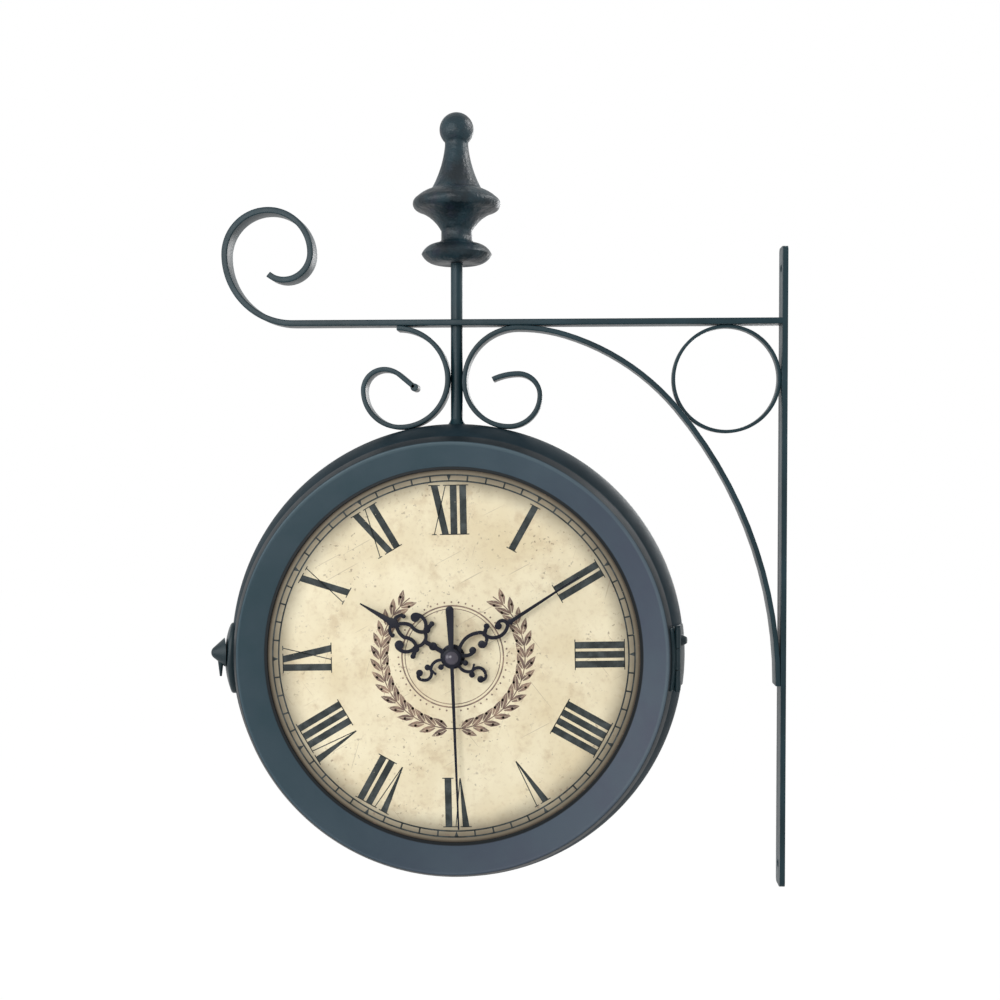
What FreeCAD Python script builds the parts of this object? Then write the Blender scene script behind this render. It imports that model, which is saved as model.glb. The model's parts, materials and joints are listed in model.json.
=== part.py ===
import FreeCAD, Part
import math
import os

from FreeCAD import Vector

# Driving dimensions in millimetres and degrees.
# X runs towards the wall (X = 0 is the wall face), Z is up, and the front dial faces -Y.

# Bracket: flat bar, bent and welded
bar_width = 16.0
wall_bar_length = 424.0
wall_bar_thickness = 3.5
wall_hole_spacing = 396.0
wall_hole_r = 2.6
wall_bar_corner_r = 3.0
arm_thickness = 4.0
arm_height = 163.0
curl_reach = 109.5
curl_turns = ((46.0, 90.0), (29.5, 90.0), (28.5, 90.0), (18.0, 90.0), (16.0, 40.0))

# Scrolls: thinner strip, touching the rod, the arm, the drum and the wall bar.
# The inner turns are shares of the turn that lies on the drum, with their angles.
scroll_thickness = 3.2
front_scroll_fall_r = 34.0
front_scroll_shares = (0.768, 0.439, 0.502)
front_scroll_angles = (90.0, 90.0, 40.0)
front_scroll_tip = 13.0
front_scroll_bead_r = 2.6
rear_scroll_rise_r = 35.8
rear_scroll_shares = (0.690, 0.488, 1.347)
rear_scroll_angles = (90.0, 90.0, 25.0)
sweep_foot_drop = 78.0
sweep_angles = (17.0, 50.0)
sweep_first_share = 0.68

# Corner ring: thin strip
ring_thickness = 2.2
ring_width = 8.0

# Hanger rod, finial, saddle and nut
rod_r = 4.0
rod_clearance = 0.05
rod_tail = 18.0
finial_stand = 40.0
finial_bore = 24.0
rod_entry = 21.0
finial_foot_r = 11.0
finial_lower_disc_r = 23.5
finial_lower_disc_rise = 6.2
finial_lower_top_rise = 7.0
finial_collar_rise = 2.4
finial_waist_r = 10.3
finial_waist_height = 6.0
finial_bell_rise = 18.4
finial_upper_disc_r = 29.3
finial_upper_top_rise = 9.2
finial_cone_base_r = 17.0
finial_cone_height = 29.2
finial_neck_r = 7.8
finial_neck_height = 2.3
finial_ball_r = 11.4
saddle_length = 26.0
saddle_width = 18.0
saddle_height = 6.0
rod_nut_flats = 13.0
rod_nut_height = 6.5

# Case: barrel drum with a short neck at each end
wall_room = 66.8
scroll_room = 67.3
drum_r = 151.7
barrel_bulge = 9.1
drum_half_depth = 37.3
neck_length = 5.8
sheet = 1.2

# Bezels: dished ring, rolled edge, flared side and a skirt inside the neck
seam_gap = 0.3
bezel_depth = 8.7
bezel_taper = 4.1
bezel_roll = 1.1
bezel_foot = 0.8
skirt_gap = 1.0
skirt_depth = 8.6
dish_width = 17.3
opening_lip = 1.8
tab_count = 6
tab_width = 8.0
tab_reach = 4.5

# Dials
dial_overlap = 4.8
dial_inset = 3.3
dial_thickness = 1.2
dial_rim_clearance = 0.2

# Rear bezel screws
screw_count = 3
screw_r = 1.5
screw_head_r = 2.5
screw_head_height = 1.4
screw_clearance = 0.05

# Hinge on the wall side
hinge_step = 0.2
hinge_height = 40.0
hinge_knuckle_r = 2.0
hinge_neck_gap = 0.1
hinge_lid_knuckle = 13.6
hinge_gap = 0.4
hinge_leaf = 1.2
hinge_leaf_length = 24.0
hinge_strap_share = 0.6
hinge_rivet_r = 4.2
hinge_rivet_height = 3.0
hinge_rivet_rise = 10.0
hinge_rivet_setback = 17.5
hinge_pin_r = 0.9
hinge_pin_clearance = 0.05
hinge_pin_head_r = 1.7
hinge_pin_head = 1.6

# Catch on the outer side
catch_edge_distance = 17.3
rose_height = 47.0
rose_width = 22.0
rose_drop = 4.0
rose_dome = 4.6
rose_dome_r = 66.0
rose_edge_r = 2.0
knob_base_r = 9.6
knob_tip_r = 4.4
knob_length = 8.8
knob_gap = 0.3
tail_length = 15.8
tail_r = 2.6
tail_tip_r = 0.7
catch_shaft_r = 2.5
catch_shaft_clearance = 0.05
cam_inset = 12.5
cam_thickness = 2.0
cam_hub_r = 4.5
cam_reach = 11.0
cam_width = 4.0
keeper_hub_gap = 0.5
keeper_cam_gap = 0.8
keeper_skirt_gap = 0.12
keeper_hook_reach = 6.5
keeper_sheet = 1.5

# Movements
case_wall = 1.5
case_corner_r = 3.0
washer_r = 14.0
washer_thickness = 1.0
boss_r = 4.0
boss_rise = 2.4
boss_clearance = 0.05
shaft_nut_flats = 12.0
shaft_nut_flange_r = 8.0
shaft_nut_flange = 0.7
shaft_nut_height = 2.2
bay_wheel_gap = 0.4
bay_wall = 1.2
bay_gap = 0.15
cell_r = 7.25
cell_length = 49.3
cell_play = 0.25
cell_nub_r = 2.75
cell_nub = 1.2
contact_sheet = 0.4
contact_spring = 0.85
contact_width = 8.0
coil_length = 20.0
coil_flange = 2.0
coil_flange_rise = 0.4
coil_gap = 0.9

# Motion work: minute pinion, motion wheel and pinion, hour wheel
motion_centre = 12.0
minute_teeth = 12
motion_teeth = 36
motion_pinion_teeth = 10
hour_teeth = 40
gear_thickness = 1.2
pinion_thickness = 2.0
gear_play = 0.4
wheel_gap = 1.5
running_gap = 0.05
hour_pipe_r = 2.5
minute_tube_r = 1.6
second_arbor_r = 0.65
motion_arbor_r = 1.0
motion_socket = 0.8
second_wheel_r = 8.0
second_wheel_thickness = 0.8
set_knob_r = 7.0
set_knob_teeth = 18
set_knob_thickness = 3.6
set_knob_gap = 0.8

# Hands
hand_thickness = 0.8
hand_gap = 1.0
hub_r = 6.0
cap_r = 4.3
cap_rise = 2.0
scroll_half = 1.15
tail_half = 1.0
hour_hand_length = 69.0
minute_hand_room = 24.2
second_hand_room = 10.2
second_root_half = 1.2
second_tip_half = 0.5
counterweight_length = 31.0
counterweight_root_half = 1.3
counterweight_r = 2.6
hour_angle = 300.0
minute_angle = 57.2
second_angle = 177.7

# Places that follow from the driving dimensions
clock_x = -wall_room - drum_r
clock_z = arm_height - scroll_room - drum_r
curl_x = clock_x - curl_reach
CLOCK = Vector(clock_x, 0, clock_z)
FRONT = Vector(0, -1, 0)
ALONG_Y = Vector(0, 1, 0)
UP = Vector(0, 0, 1)
wall_bar_face = -wall_bar_thickness
arm_under = arm_height - arm_thickness / 2
finial_base = arm_height + finial_stand
rod_top = finial_base + rod_entry
strip_top = arm_under - scroll_thickness / 2
neck_r = drum_r - barrel_bulge
neck_start = drum_half_depth - neck_length
barrel_r = (neck_start ** 2 + barrel_bulge ** 2) / (2 * barrel_bulge)
seam = drum_half_depth + seam_gap
neck_bore_r = neck_r - sheet
skirt_r = neck_bore_r - skirt_gap
bezel_front = drum_half_depth + bezel_depth
bezel_edge_r = neck_r - bezel_taper
opening_r = bezel_edge_r - dish_width
hinge_axis_r = neck_r + hinge_knuckle_r + hinge_neck_gap
hinge_axis_depth = drum_half_depth + hinge_step
catch_depth = drum_half_depth - catch_edge_distance
dial_r = opening_r + dial_overlap
dial_face = drum_half_depth - dial_inset
dial_back = dial_face - dial_thickness
case_front = dial_back - washer_thickness
case_back = case_front - case_wall - 2 * cell_r
boss_top = dial_face + boss_rise
minute_hand_length = opening_r - minute_hand_room
second_hand_length = opening_r - second_hand_room
hour_hand_back = boss_top + hand_gap
minute_hand_back = hour_hand_back + hand_thickness + hand_gap
second_hand_back = minute_hand_back + hand_thickness + hand_gap

nodes = {}


# Outlines and flat shapes

def outline(start, *steps):
    """Closed wire; a step is an end point, or a (middle, end) pair for an arc."""
    edges = []
    here = start
    for step in steps:
        if isinstance(step, tuple):
            edges.append(Part.Arc(here, step[0], step[1]).toShape())
            here = step[1]
        else:
            edges.append(Part.LineSegment(here, step).toShape())
            here = step
    edges.append(Part.LineSegment(here, start).toShape())
    return Part.Wire(edges)


def polygon(*points):
    return Part.Face(Part.makePolygon(list(points) + [points[0]]))


def rim(depth, radius):
    """Point of a turned profile: depth in front of the mid-plane, radius from the clock axis."""
    return Vector(radius, -depth, 0)


def turned(start, *steps):
    return Part.Face(outline(start, *steps)).revolve(Vector(), ALONG_Y, 360)


def tube(outer_r, inner_r, back, front):
    """Ring about the clock axis between two depths."""
    ring = Part.makeCylinder(outer_r, front - back, Vector(0, -back, 0), FRONT)
    if inner_r:
        ring = ring.cut(Part.makeCylinder(inner_r, front - back, Vector(0, -back, 0), FRONT))
    return ring


def block(across, depths, heights):
    """Box from pairs of limits: X, depth in front of the mid-plane, Z."""
    corner = Vector(across[0], -depths[1], heights[0])
    return Part.makeBox(across[1] - across[0], depths[1] - depths[0], heights[1] - heights[0], corner)


def hexagon(flats, height, base, direction):
    """Hexagonal prism that rises from base along direction."""
    corner_r = flats / math.sqrt(3)
    corners = [Vector(corner_r * math.cos(math.radians(60 * k)), corner_r * math.sin(math.radians(60 * k)), 0)
               for k in range(6)]
    prism = polygon(*corners).extrude(Vector(0, 0, height))
    prism.Placement = FreeCAD.Placement(base, FreeCAD.Rotation(UP, direction))
    return prism


def edges_along(solid, direction):
    """Straight edges of a block that run along a direction."""
    return [edge for edge in solid.Edges if abs(edge.tangentAt(edge.FirstParameter).dot(direction)) > 0.99]


def joined(shapes):
    return shapes[0].multiFuse(shapes[1:]).removeSplitter()


def seat(shape, side="front"):
    """Moves a shape made about the clock's centre to its place, turned round for the rear."""
    placed = shape.copy()
    if side == "rear":
        placed.rotate(Vector(), UP, 180)
    placed.translate(CLOCK)
    return placed


# Bent strip: a line followed on the XZ plane, turning right or left through tangent arcs

class Strip:
    def __init__(self, x, z, heading, thickness, width):
        self.point = Vector(x, 0, z)
        self.heading = heading
        self.half = thickness / 2
        self.width = width
        self.left = []
        self.right = []
        self.ends = [self.sides()]

    def sides(self):
        angle = math.radians(self.heading)
        normal = Vector(-math.sin(angle), 0, math.cos(angle))
        return self.point + normal * self.half, self.point - normal * self.half

    def turn(self, radius, sweep):
        """Arc to the right for a positive sweep, to the left for a negative one."""
        side = 1 if sweep > 0 else -1
        angle = math.radians(self.heading)
        centre = self.point + Vector(math.sin(angle), 0, -math.cos(angle)) * (radius * side)
        start = self.sides()
        marks = []
        for part in (0.5, 1.0):
            turned_heading = math.radians(self.heading - sweep * part)
            offset = Vector(-math.sin(turned_heading), 0, math.cos(turned_heading)) * side
            edge = side * self.half
            marks.append((centre + offset * (radius + edge), centre + offset * (radius - edge)))
            end = centre + offset * radius
        self.left.append(Part.Arc(start[0], marks[0][0], marks[1][0]).toShape())
        self.right.append(Part.Arc(start[1], marks[0][1], marks[1][1]).toShape())
        self.point = end
        self.heading -= sweep
        self.ends.append(self.sides())
        return centre

    def run(self, length):
        start = self.sides()
        angle = math.radians(self.heading)
        self.point = self.point + Vector(math.cos(angle), 0, math.sin(angle)) * length
        end = self.sides()
        self.left.append(Part.LineSegment(start[0], end[0]).toShape())
        self.right.append(Part.LineSegment(start[1], end[1]).toShape())
        self.ends.append(end)

    def solid(self):
        caps = [Part.LineSegment(*self.ends[0]).toShape(), Part.LineSegment(*self.ends[-1]).toShape()]
        wire = Part.Wire(Part.__sortEdges__(self.left + self.right + caps))
        face = Part.Face(wire)
        face.translate(Vector(0, -self.width / 2, 0))
        return face.extrude(Vector(0, self.width, 0))


# Bracket

def wall_bar():
    bar = Part.makeBox(wall_bar_thickness, bar_width, wall_bar_length,
                       Vector(wall_bar_face, -bar_width / 2, -wall_bar_length / 2))
    bar = bar.makeFillet(wall_bar_corner_r, edges_along(bar, Vector(1, 0, 0)))
    for sign in (-1, 1):
        start = Vector(-2 * wall_bar_thickness, 0, sign * wall_hole_spacing / 2)
        bar = bar.cut(Part.makeCylinder(wall_hole_r, 3 * wall_bar_thickness, start, Vector(1, 0, 0)))
    return bar


def top_arm():
    arm = Strip(wall_bar_face, arm_height, 180, arm_thickness, bar_width)
    arm.run(wall_bar_face - curl_x)
    for radius, sweep in curl_turns:
        arm.turn(radius, sweep)
    hole = Part.makeCylinder(rod_r + rod_clearance, 3 * arm_thickness,
                             Vector(clock_x, 0, arm_height - 1.5 * arm_thickness), UP)
    return arm.solid().cut(hole)


rod_side = rod_r + scroll_thickness / 2


def drum_touch_r(height):
    """Radius of the turn that starts beside the rod at a height and just touches the drum."""
    rise = height - clock_z
    reach = drum_r + scroll_thickness / 2
    return (rod_side ** 2 + rise ** 2 - reach ** 2) / (2 * (reach - rod_side))


def front_scroll():
    scroll = Strip(clock_x - rod_side - front_scroll_fall_r, strip_top, 0, scroll_thickness, bar_width)
    scroll.turn(front_scroll_fall_r, 90)
    drum_turn_r = drum_touch_r(scroll.point.z)
    scroll.turn(drum_turn_r, 90)
    for share, sweep in zip(front_scroll_shares, front_scroll_angles):
        scroll.turn(share * drum_turn_r, sweep)
    scroll.run(front_scroll_tip)
    bead_end = scroll.point - ALONG_Y * (bar_width / 2)
    bead = Part.makeCylinder(front_scroll_bead_r, bar_width, bead_end, ALONG_Y)
    return joined([scroll.solid(), bead])


def sweep_radii(across, down):
    """Radii of the three arcs that lead from under the arm to the wall bar."""
    first, second = (math.radians(angle) for angle in sweep_angles)
    row_x = (sweep_first_share * math.sin(first) + math.sin(second) - math.sin(first), 1 - math.sin(second))
    row_z = (sweep_first_share * (1 - math.cos(first)) + math.cos(first) - math.cos(second), math.cos(second))
    scale = row_x[0] * row_z[1] - row_x[1] * row_z[0]
    middle = (across * row_z[1] - row_x[1] * down) / scale
    last = (row_x[0] * down - across * row_z[0]) / scale
    return sweep_first_share * middle, middle, last


def rear_scroll():
    """Spiral beside the rod and long sweep to the wall bar; also returns the sweep's middle arc."""
    start_z = strip_top - rear_scroll_rise_r
    sweep = Strip(clock_x + rod_side, start_z, 90, scroll_thickness, bar_width)
    sweep.turn(rear_scroll_rise_r, 90)
    across = wall_bar_face - scroll_thickness / 2 - sweep.point.x
    radii = sweep_radii(across, strip_top + sweep_foot_drop)
    turns = (sweep_angles[0], sweep_angles[1] - sweep_angles[0], 90 - sweep_angles[1])
    arcs = []
    for radius, angle in zip(radii, turns):
        arcs.append((sweep.turn(radius, angle), radius + scroll_thickness / 2))
    spiral = Strip(clock_x + rod_side, start_z, -90, scroll_thickness, bar_width)
    drum_turn_r = drum_touch_r(start_z)
    spiral.turn(drum_turn_r, -90)
    for share, angle in zip(rear_scroll_shares, rear_scroll_angles):
        spiral.turn(share * drum_turn_r, -angle)
    return joined([sweep.solid(), spiral.solid()]), arcs


def ring_touching(arcs):
    """Outer radius of the circle that touches the arm, the wall bar and the sweep."""
    for (centre, reach), (low, high) in zip(arcs[1:], ((0, sweep_angles[1]), (sweep_angles[1], 90))):
        across = wall_bar_face - centre.x
        up = arm_under - centre.z
        half = across + up + reach
        radius = half - math.sqrt(half ** 2 - (across ** 2 + up ** 2 - reach ** 2))
        touch = math.degrees(math.atan2(across - radius, up - radius))
        if low <= touch <= high:
            break
    return radius


def corner_ring(arcs):
    outer = ring_touching(arcs)
    base = Vector(wall_bar_face - outer, -ring_width / 2, arm_under - outer)
    ring = Part.makeCylinder(outer, ring_width, base, ALONG_Y)
    return ring.cut(Part.makeCylinder(outer - ring_thickness, ring_width, base, ALONG_Y))


def hanger_rod():
    bottom = clock_z + drum_r - sheet - rod_tail
    return Part.makeCylinder(rod_r, rod_top - bottom, Vector(clock_x, 0, bottom), UP)


def finial():
    def at(radius, height):
        return Vector(radius, 0, height)

    lower_disc = finial_lower_disc_rise
    lower_top = lower_disc + finial_lower_top_rise
    waist_low = lower_top + finial_collar_rise
    waist_high = waist_low + finial_waist_height
    upper_disc = waist_high + finial_bell_rise
    cone_low = upper_disc + finial_upper_top_rise
    cone_high = cone_low + finial_cone_height
    ball_low = cone_high + finial_neck_height
    ball_middle = ball_low + math.sqrt(finial_ball_r ** 2 - finial_neck_r ** 2)
    bell_r = 0.88 * finial_upper_disc_r
    bell_high = upper_disc - 0.26 * finial_bell_rise
    rim_r = 0.92 * finial_upper_disc_r
    rim_high = upper_disc + 0.4 * finial_upper_top_rise
    profile = outline(
        at(0, 0),
        at(finial_foot_r, 0),
        (at(finial_lower_disc_r - 0.6 * lower_disc, 0.28 * lower_disc),
         at(finial_lower_disc_r, lower_disc)),
        (at(0.83 * finial_lower_disc_r, lower_disc + 0.7 * finial_lower_top_rise),
         at(1.2 * finial_waist_r, lower_top)),
        at(finial_waist_r, waist_low),
        at(finial_waist_r, waist_high),
        (at(0.72 * finial_waist_r + 0.28 * bell_r, 0.55 * waist_high + 0.45 * bell_high),
         at(bell_r, bell_high)),
        (at(finial_upper_disc_r, upper_disc), at(rim_r, rim_high)),
        (at((rim_r + finial_cone_base_r) / 2, 0.35 * rim_high + 0.65 * cone_low),
         at(finial_cone_base_r, cone_low)),
        (at(0.64 * finial_neck_r + 0.36 * finial_cone_base_r, 0.54 * cone_low + 0.46 * cone_high),
         at(finial_neck_r, cone_high)),
        at(finial_neck_r, ball_low),
        (at(finial_ball_r, ball_middle), at(0, ball_middle + finial_ball_r)))
    body = Part.Face(profile).revolve(Vector(), UP, 360)
    body.translate(Vector(clock_x, 0, finial_base))
    bore = Part.makeCylinder(rod_r + rod_clearance, finial_bore, Vector(clock_x, 0, finial_base), UP)
    return body.cut(bore)


# Case

def drum_profile(inset):
    """Half outline of the drum from its rear edge to its front edge, set in by a wall."""
    step = inset / 2
    return (rim(-drum_half_depth, neck_r - inset), rim(-neck_start + step, neck_r - inset),
            rim(0, drum_r - inset), rim(neck_start - step, neck_r - inset),
            rim(drum_half_depth, neck_r - inset))


def drum_body(inset):
    rear_edge, rear_neck, middle, front_neck, front_edge = drum_profile(inset)
    return turned(rim(-drum_half_depth, 0), rear_edge, rear_neck, (middle, front_neck), front_edge,
                  rim(drum_half_depth, 0))


drum_outside = drum_body(0)
drum_inside = drum_body(sheet)


def barrel_at(depth):
    """Radius of the drum's outside at a depth between its necks."""
    return drum_r - barrel_r + math.sqrt(barrel_r ** 2 - depth ** 2)


def barrel_tilt(depth):
    """Angle between the drum's surface and its axis at a depth."""
    return math.degrees(math.asin(depth / barrel_r))


def around(shape, count, first=0):
    """Copies of a shape turned about the clock's axis."""
    return [shape.rotated(Vector(), ALONG_Y, first + 360 / count * k) for k in range(count)]


screw_depth = (neck_start + drum_half_depth) / 2


def screw_holes():
    hole = Part.makeCylinder(screw_r + screw_clearance, neck_r, Vector(0, screw_depth, 0), Vector(1, 0, 0))
    return around(hole, screw_count, 30)


def case_drum():
    drum = drum_outside.cut(drum_inside)
    drum = drum.cut(Part.makeCylinder(rod_r + rod_clearance, drum_r, Vector(), UP))
    drum = drum.cut(in_catch_place(catch_bore()))
    return drum.cut(screw_holes())


def rear_screws():
    shank = Part.makeCylinder(screw_r, neck_r - skirt_r + 2 * sheet,
                              Vector(skirt_r - 2 * sheet, screw_depth, 0), Vector(1, 0, 0))
    head = Part.makeCylinder(screw_head_r, screw_head_height, Vector(neck_r, screw_depth, 0), Vector(1, 0, 0))
    return Part.makeCompound(around(shank.fuse(head).removeSplitter(), screw_count, 30))


def bezel():
    """Dished ring, front side: lip on the dial, dish, rolled edge, flared side and skirt."""
    lip_front = dial_face + sheet
    dish_r = opening_r + opening_lip
    skirt_bore_r = skirt_r - sheet
    edge_back = bezel_front - bezel_roll
    ring = turned(
        rim(dial_face, opening_r),
        rim(lip_front, opening_r),
        rim(lip_front, dish_r),
        rim(bezel_front - 0.3 * bezel_roll, bezel_edge_r - bezel_roll),
        (rim(bezel_front, bezel_edge_r), rim(edge_back + 0.3 * bezel_roll, bezel_edge_r + bezel_roll)),
        rim(seam + bezel_foot, neck_r),
        rim(seam, neck_r),
        rim(seam, skirt_r),
        rim(seam - skirt_depth, skirt_r),
        rim(seam - skirt_depth, skirt_bore_r),
        rim(edge_back - 2 * sheet, skirt_bore_r),
        rim(edge_back - sheet / 2, bezel_edge_r - sheet / 2),
        rim(dial_face, dish_r + sheet / 2))
    slope = (bezel_front - lip_front) / (bezel_edge_r - bezel_roll - dish_r)
    riser_in = dial_r + dial_rim_clearance
    riser_top = lip_front + (riser_in - dish_r) * slope - sheet / 2
    half = tab_width / 2
    riser = block((riser_in, riser_in + sheet), (dial_back - sheet, riser_top), (-half, half))
    foot = block((dial_r - tab_reach, riser_in + sheet), (dial_back - sheet, dial_back), (-half, half))
    return joined([ring] + around(riser.fuse(foot), tab_count, 30))


def dial():
    plate = tube(dial_r, 0, dial_back, dial_face)
    return plate.cut(tube(boss_r + boss_clearance, 0, dial_back, dial_face))


def rod_saddle():
    top = drum_r - sheet
    saddle = Part.makeBox(saddle_length, saddle_width, saddle_height + sheet,
                          Vector(-saddle_length / 2, -saddle_width / 2, top - saddle_height))
    hole = Part.makeCylinder(rod_r + rod_clearance, drum_r, Vector(), UP)
    return saddle.common(drum_inside).cut(hole)


def rod_nut():
    base = Vector(0, 0, drum_r - sheet - saddle_height - rod_nut_height)
    nut = hexagon(rod_nut_flats, rod_nut_height, base, UP)
    return nut.cut(Part.makeCylinder(rod_r + rod_clearance, drum_r, Vector(), UP))


# Hinge: flat leaves, three knuckles and a headed pin

def knuckle(radius, low, high):
    return Part.makeCylinder(radius, high - low, rim(hinge_axis_depth, hinge_axis_r) + UP * low, UP)


lid_half = hinge_lid_knuckle / 2
hinge_half = hinge_height / 2


def beside_hinge(shape):
    """Part of a round shape that lies within the hinge's height, on the wall side."""
    return shape.common(block((0, 2 * drum_r), (0, 2 * bezel_front), (-hinge_half, hinge_half)))


def hinge_case_leaf():
    """Leaf bent to the drum's outside, with two knuckles and a rivet head."""
    leaf = beside_hinge(drum_body(-hinge_leaf).cut(drum_outside))
    leaf_back = drum_half_depth - hinge_leaf_length
    leaf = leaf.common(tube(2 * drum_r, 0, leaf_back, drum_half_depth))
    rivet_depth = drum_half_depth - hinge_rivet_setback
    tilt = math.radians(barrel_tilt(rivet_depth))
    out = Vector(math.cos(tilt), -math.sin(tilt), 0)
    rivet_foot = rim(rivet_depth, barrel_at(rivet_depth)) + out * (hinge_leaf / 2)
    rivet = Part.makeCone(hinge_rivet_r, hinge_rivet_r / 2, hinge_leaf / 2 + hinge_rivet_height,
                          rivet_foot, out)
    rivet.rotate(Vector(), ALONG_Y, -math.degrees(math.asin(hinge_rivet_rise / drum_r)))
    leaf = joined([leaf, rivet, knuckle(hinge_knuckle_r, -hinge_half, -lid_half - hinge_gap),
                   knuckle(hinge_knuckle_r, lid_half + hinge_gap, hinge_half)])
    room = knuckle(hinge_knuckle_r + hinge_gap, -lid_half - hinge_gap, lid_half + hinge_gap)
    return leaf.cut(room).cut(knuckle(hinge_pin_r, -hinge_half, hinge_half))


def hinge_lid_leaf():
    """Strap bent to the bezel's flared side, with the middle knuckle."""
    low = rim(seam + bezel_foot, neck_r)
    flare = rim(bezel_front - 0.7 * bezel_roll, bezel_edge_r + bezel_roll) - low
    high = low + flare * hinge_strap_share
    out = Vector(-flare.y, flare.x, 0).normalize() * hinge_leaf
    strap = beside_hinge(turned(rim(seam, neck_r), low, high, high + out, low + out,
                                rim(seam, neck_r + hinge_leaf)))
    for low_end, high_end in ((-hinge_half, -lid_half), (lid_half, hinge_half)):
        strap = strap.cut(knuckle(hinge_knuckle_r + hinge_gap, low_end, high_end))
    leaf = joined([strap, knuckle(hinge_knuckle_r, -lid_half, lid_half)])
    leaf = leaf.cut(knuckle(hinge_pin_r + hinge_pin_clearance, -hinge_half, hinge_half))
    return max(leaf.cut(bezel()).Solids, key=lambda solid: solid.Volume)


def hinge_pin():
    return joined([knuckle(hinge_pin_r, -hinge_half, hinge_half),
                   knuckle(hinge_pin_head_r, hinge_half, hinge_half + hinge_pin_head),
                   knuckle(hinge_pin_head_r, -hinge_half - hinge_pin_head / 2, -hinge_half)])


# Catch: made about the drum's surface with its shaft along -X, then tilted square to the barrel

def in_catch_place(shape):
    placed = shape.copy()
    placed.rotate(Vector(), UP, barrel_tilt(catch_depth))
    placed.translate(Vector(-barrel_at(catch_depth), -catch_depth, 0))
    return placed


def catch_bore():
    return Part.makeCylinder(catch_shaft_r + catch_shaft_clearance, 2 * cam_inset, Vector(-cam_inset, 0, 0),
                             Vector(1, 0, 0))


def catch_rose():
    """Oval dome on the barrel, hanging lower than the shaft that it carries."""
    rim_curve = Part.Ellipse(Vector(), rose_height / 2, rose_width / 2).toShape()
    rim_curve.rotate(Vector(), ALONG_Y, 90)
    prism = Part.Face(Part.Wire(rim_curve)).extrude(Vector(2 * rose_dome, 0, 0))
    prism.translate(Vector(-rose_dome, 0, 0))
    dome = Part.makeSphere(rose_dome_r, Vector(rose_dome_r - rose_dome, 0, 0)).common(prism)
    outer_edge = min(dome.Edges, key=lambda edge: edge.CenterOfMass.x)
    dome = dome.makeFillet(rose_edge_r, [outer_edge])
    dome.translate(UP * -rose_drop)
    return in_catch_place(dome.cut(catch_bore())).cut(drum_outside)


def catch_knob():
    """Cone that runs smoothly into a round tip, with a tapered tail, on the shaft that turns the cam."""
    base = -rose_dome - knob_gap
    tip_centre_rise = knob_length - knob_tip_r
    slant = math.hypot(knob_base_r, tip_centre_rise)
    lean = math.acos(knob_tip_r / slant) - math.atan2(tip_centre_rise, knob_base_r)

    def on_tip(angle):
        return Vector(base - tip_centre_rise - knob_tip_r * math.sin(angle), knob_tip_r * math.cos(angle), 0)

    profile = outline(
        Vector(base, 0, 0),
        Vector(base, knob_base_r, 0),
        on_tip(lean),
        (on_tip((lean + math.pi / 2) / 2), on_tip(math.pi / 2)))
    knob = Part.Face(profile).revolve(Vector(), Vector(1, 0, 0), 360)
    shaft = Part.makeCylinder(catch_shaft_r, cam_inset + cam_thickness - base, Vector(base, 0, 0),
                              Vector(1, 0, 0))
    tail = Part.makeCone(tail_r, tail_tip_r, tail_length, Vector(base - tail_r, 0, 0), UP * -1)
    return in_catch_place(joined([knob, shaft, tail]))


def catch_cam():
    hub = Part.makeCylinder(cam_hub_r, cam_thickness, Vector(cam_inset, 0, 0), Vector(1, 0, 0))
    finger = Part.makeBox(cam_thickness, cam_reach, cam_width, Vector(cam_inset, -cam_reach, -cam_width / 2))
    shaft = Part.makeCylinder(catch_shaft_r, cam_thickness, Vector(cam_inset, 0, 0), Vector(1, 0, 0))
    return in_catch_place(joined([hub, finger]).cut(shaft))


def lid_keeper():
    """Strip on the skirt's inside, with a hook that the turned cam lies in front of."""
    tilt = math.radians(barrel_tilt(catch_depth))
    cam_back = catch_depth - (cam_inset + cam_thickness) * math.sin(tilt) - cam_width / 2 * math.cos(tilt)
    hook_front = cam_back - keeper_cam_gap
    hook_back = hook_front - keeper_sheet
    heights = (cam_hub_r + keeper_hub_gap, cam_reach)
    outer = skirt_r - sheet - keeper_skirt_gap
    inner = outer - 2 * keeper_sheet
    strip = tube(outer, outer - keeper_sheet, hook_back, seam - keeper_sheet)
    foot = tube(outer, inner - keeper_sheet, hook_back, hook_front)
    band = joined([strip, foot]).common(block((-skirt_r, 0), (0, seam), heights))
    hook = block((-inner, keeper_hook_reach - inner), (hook_back, hook_front), heights)
    return joined([band, hook])


# Movements: front side about the clock's centre, depths counted from the mid-plane

tooth_root = 1.2
tooth_rise = 0.85
motion_module = 2 * motion_centre / (minute_teeth + motion_teeth)
hour_module = 2 * motion_centre / (motion_pinion_teeth + hour_teeth)
cell_half = (cell_length + cell_nub) / 2
bay_wall_top = -hour_module * (hour_teeth / 2 + tooth_rise) - bay_wheel_gap
bay_top = bay_wall_top - bay_wall
cell_height = bay_top - bay_gap - cell_r
room_across = cell_half + contact_spring + contact_sheet
room_up = cell_r + cell_play - cell_height
cover_front = case_back + case_wall
cell_depth = case_front - case_wall - cell_r
hour_wheel_front = case_front - case_wall - gear_play
hour_wheel_back = hour_wheel_front - gear_thickness
motion_wheel_front = hour_wheel_back - wheel_gap
motion_wheel_back = motion_wheel_front - gear_thickness
minute_pinion_back = motion_wheel_back - gear_play
second_wheel_front = minute_pinion_back - wheel_gap
coil_flange_size = motion_wheel_back - coil_gap - cover_front


def rounded_block(wall, back, front):
    """Rounded block about the room for cell and wheels, larger by a wall."""
    across = room_across + wall
    up = room_up + wall
    box = block((-across, across), (back, front), (-up, up))
    return box.makeFillet(case_corner_r - case_wall + wall, edges_along(box, FRONT))


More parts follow.
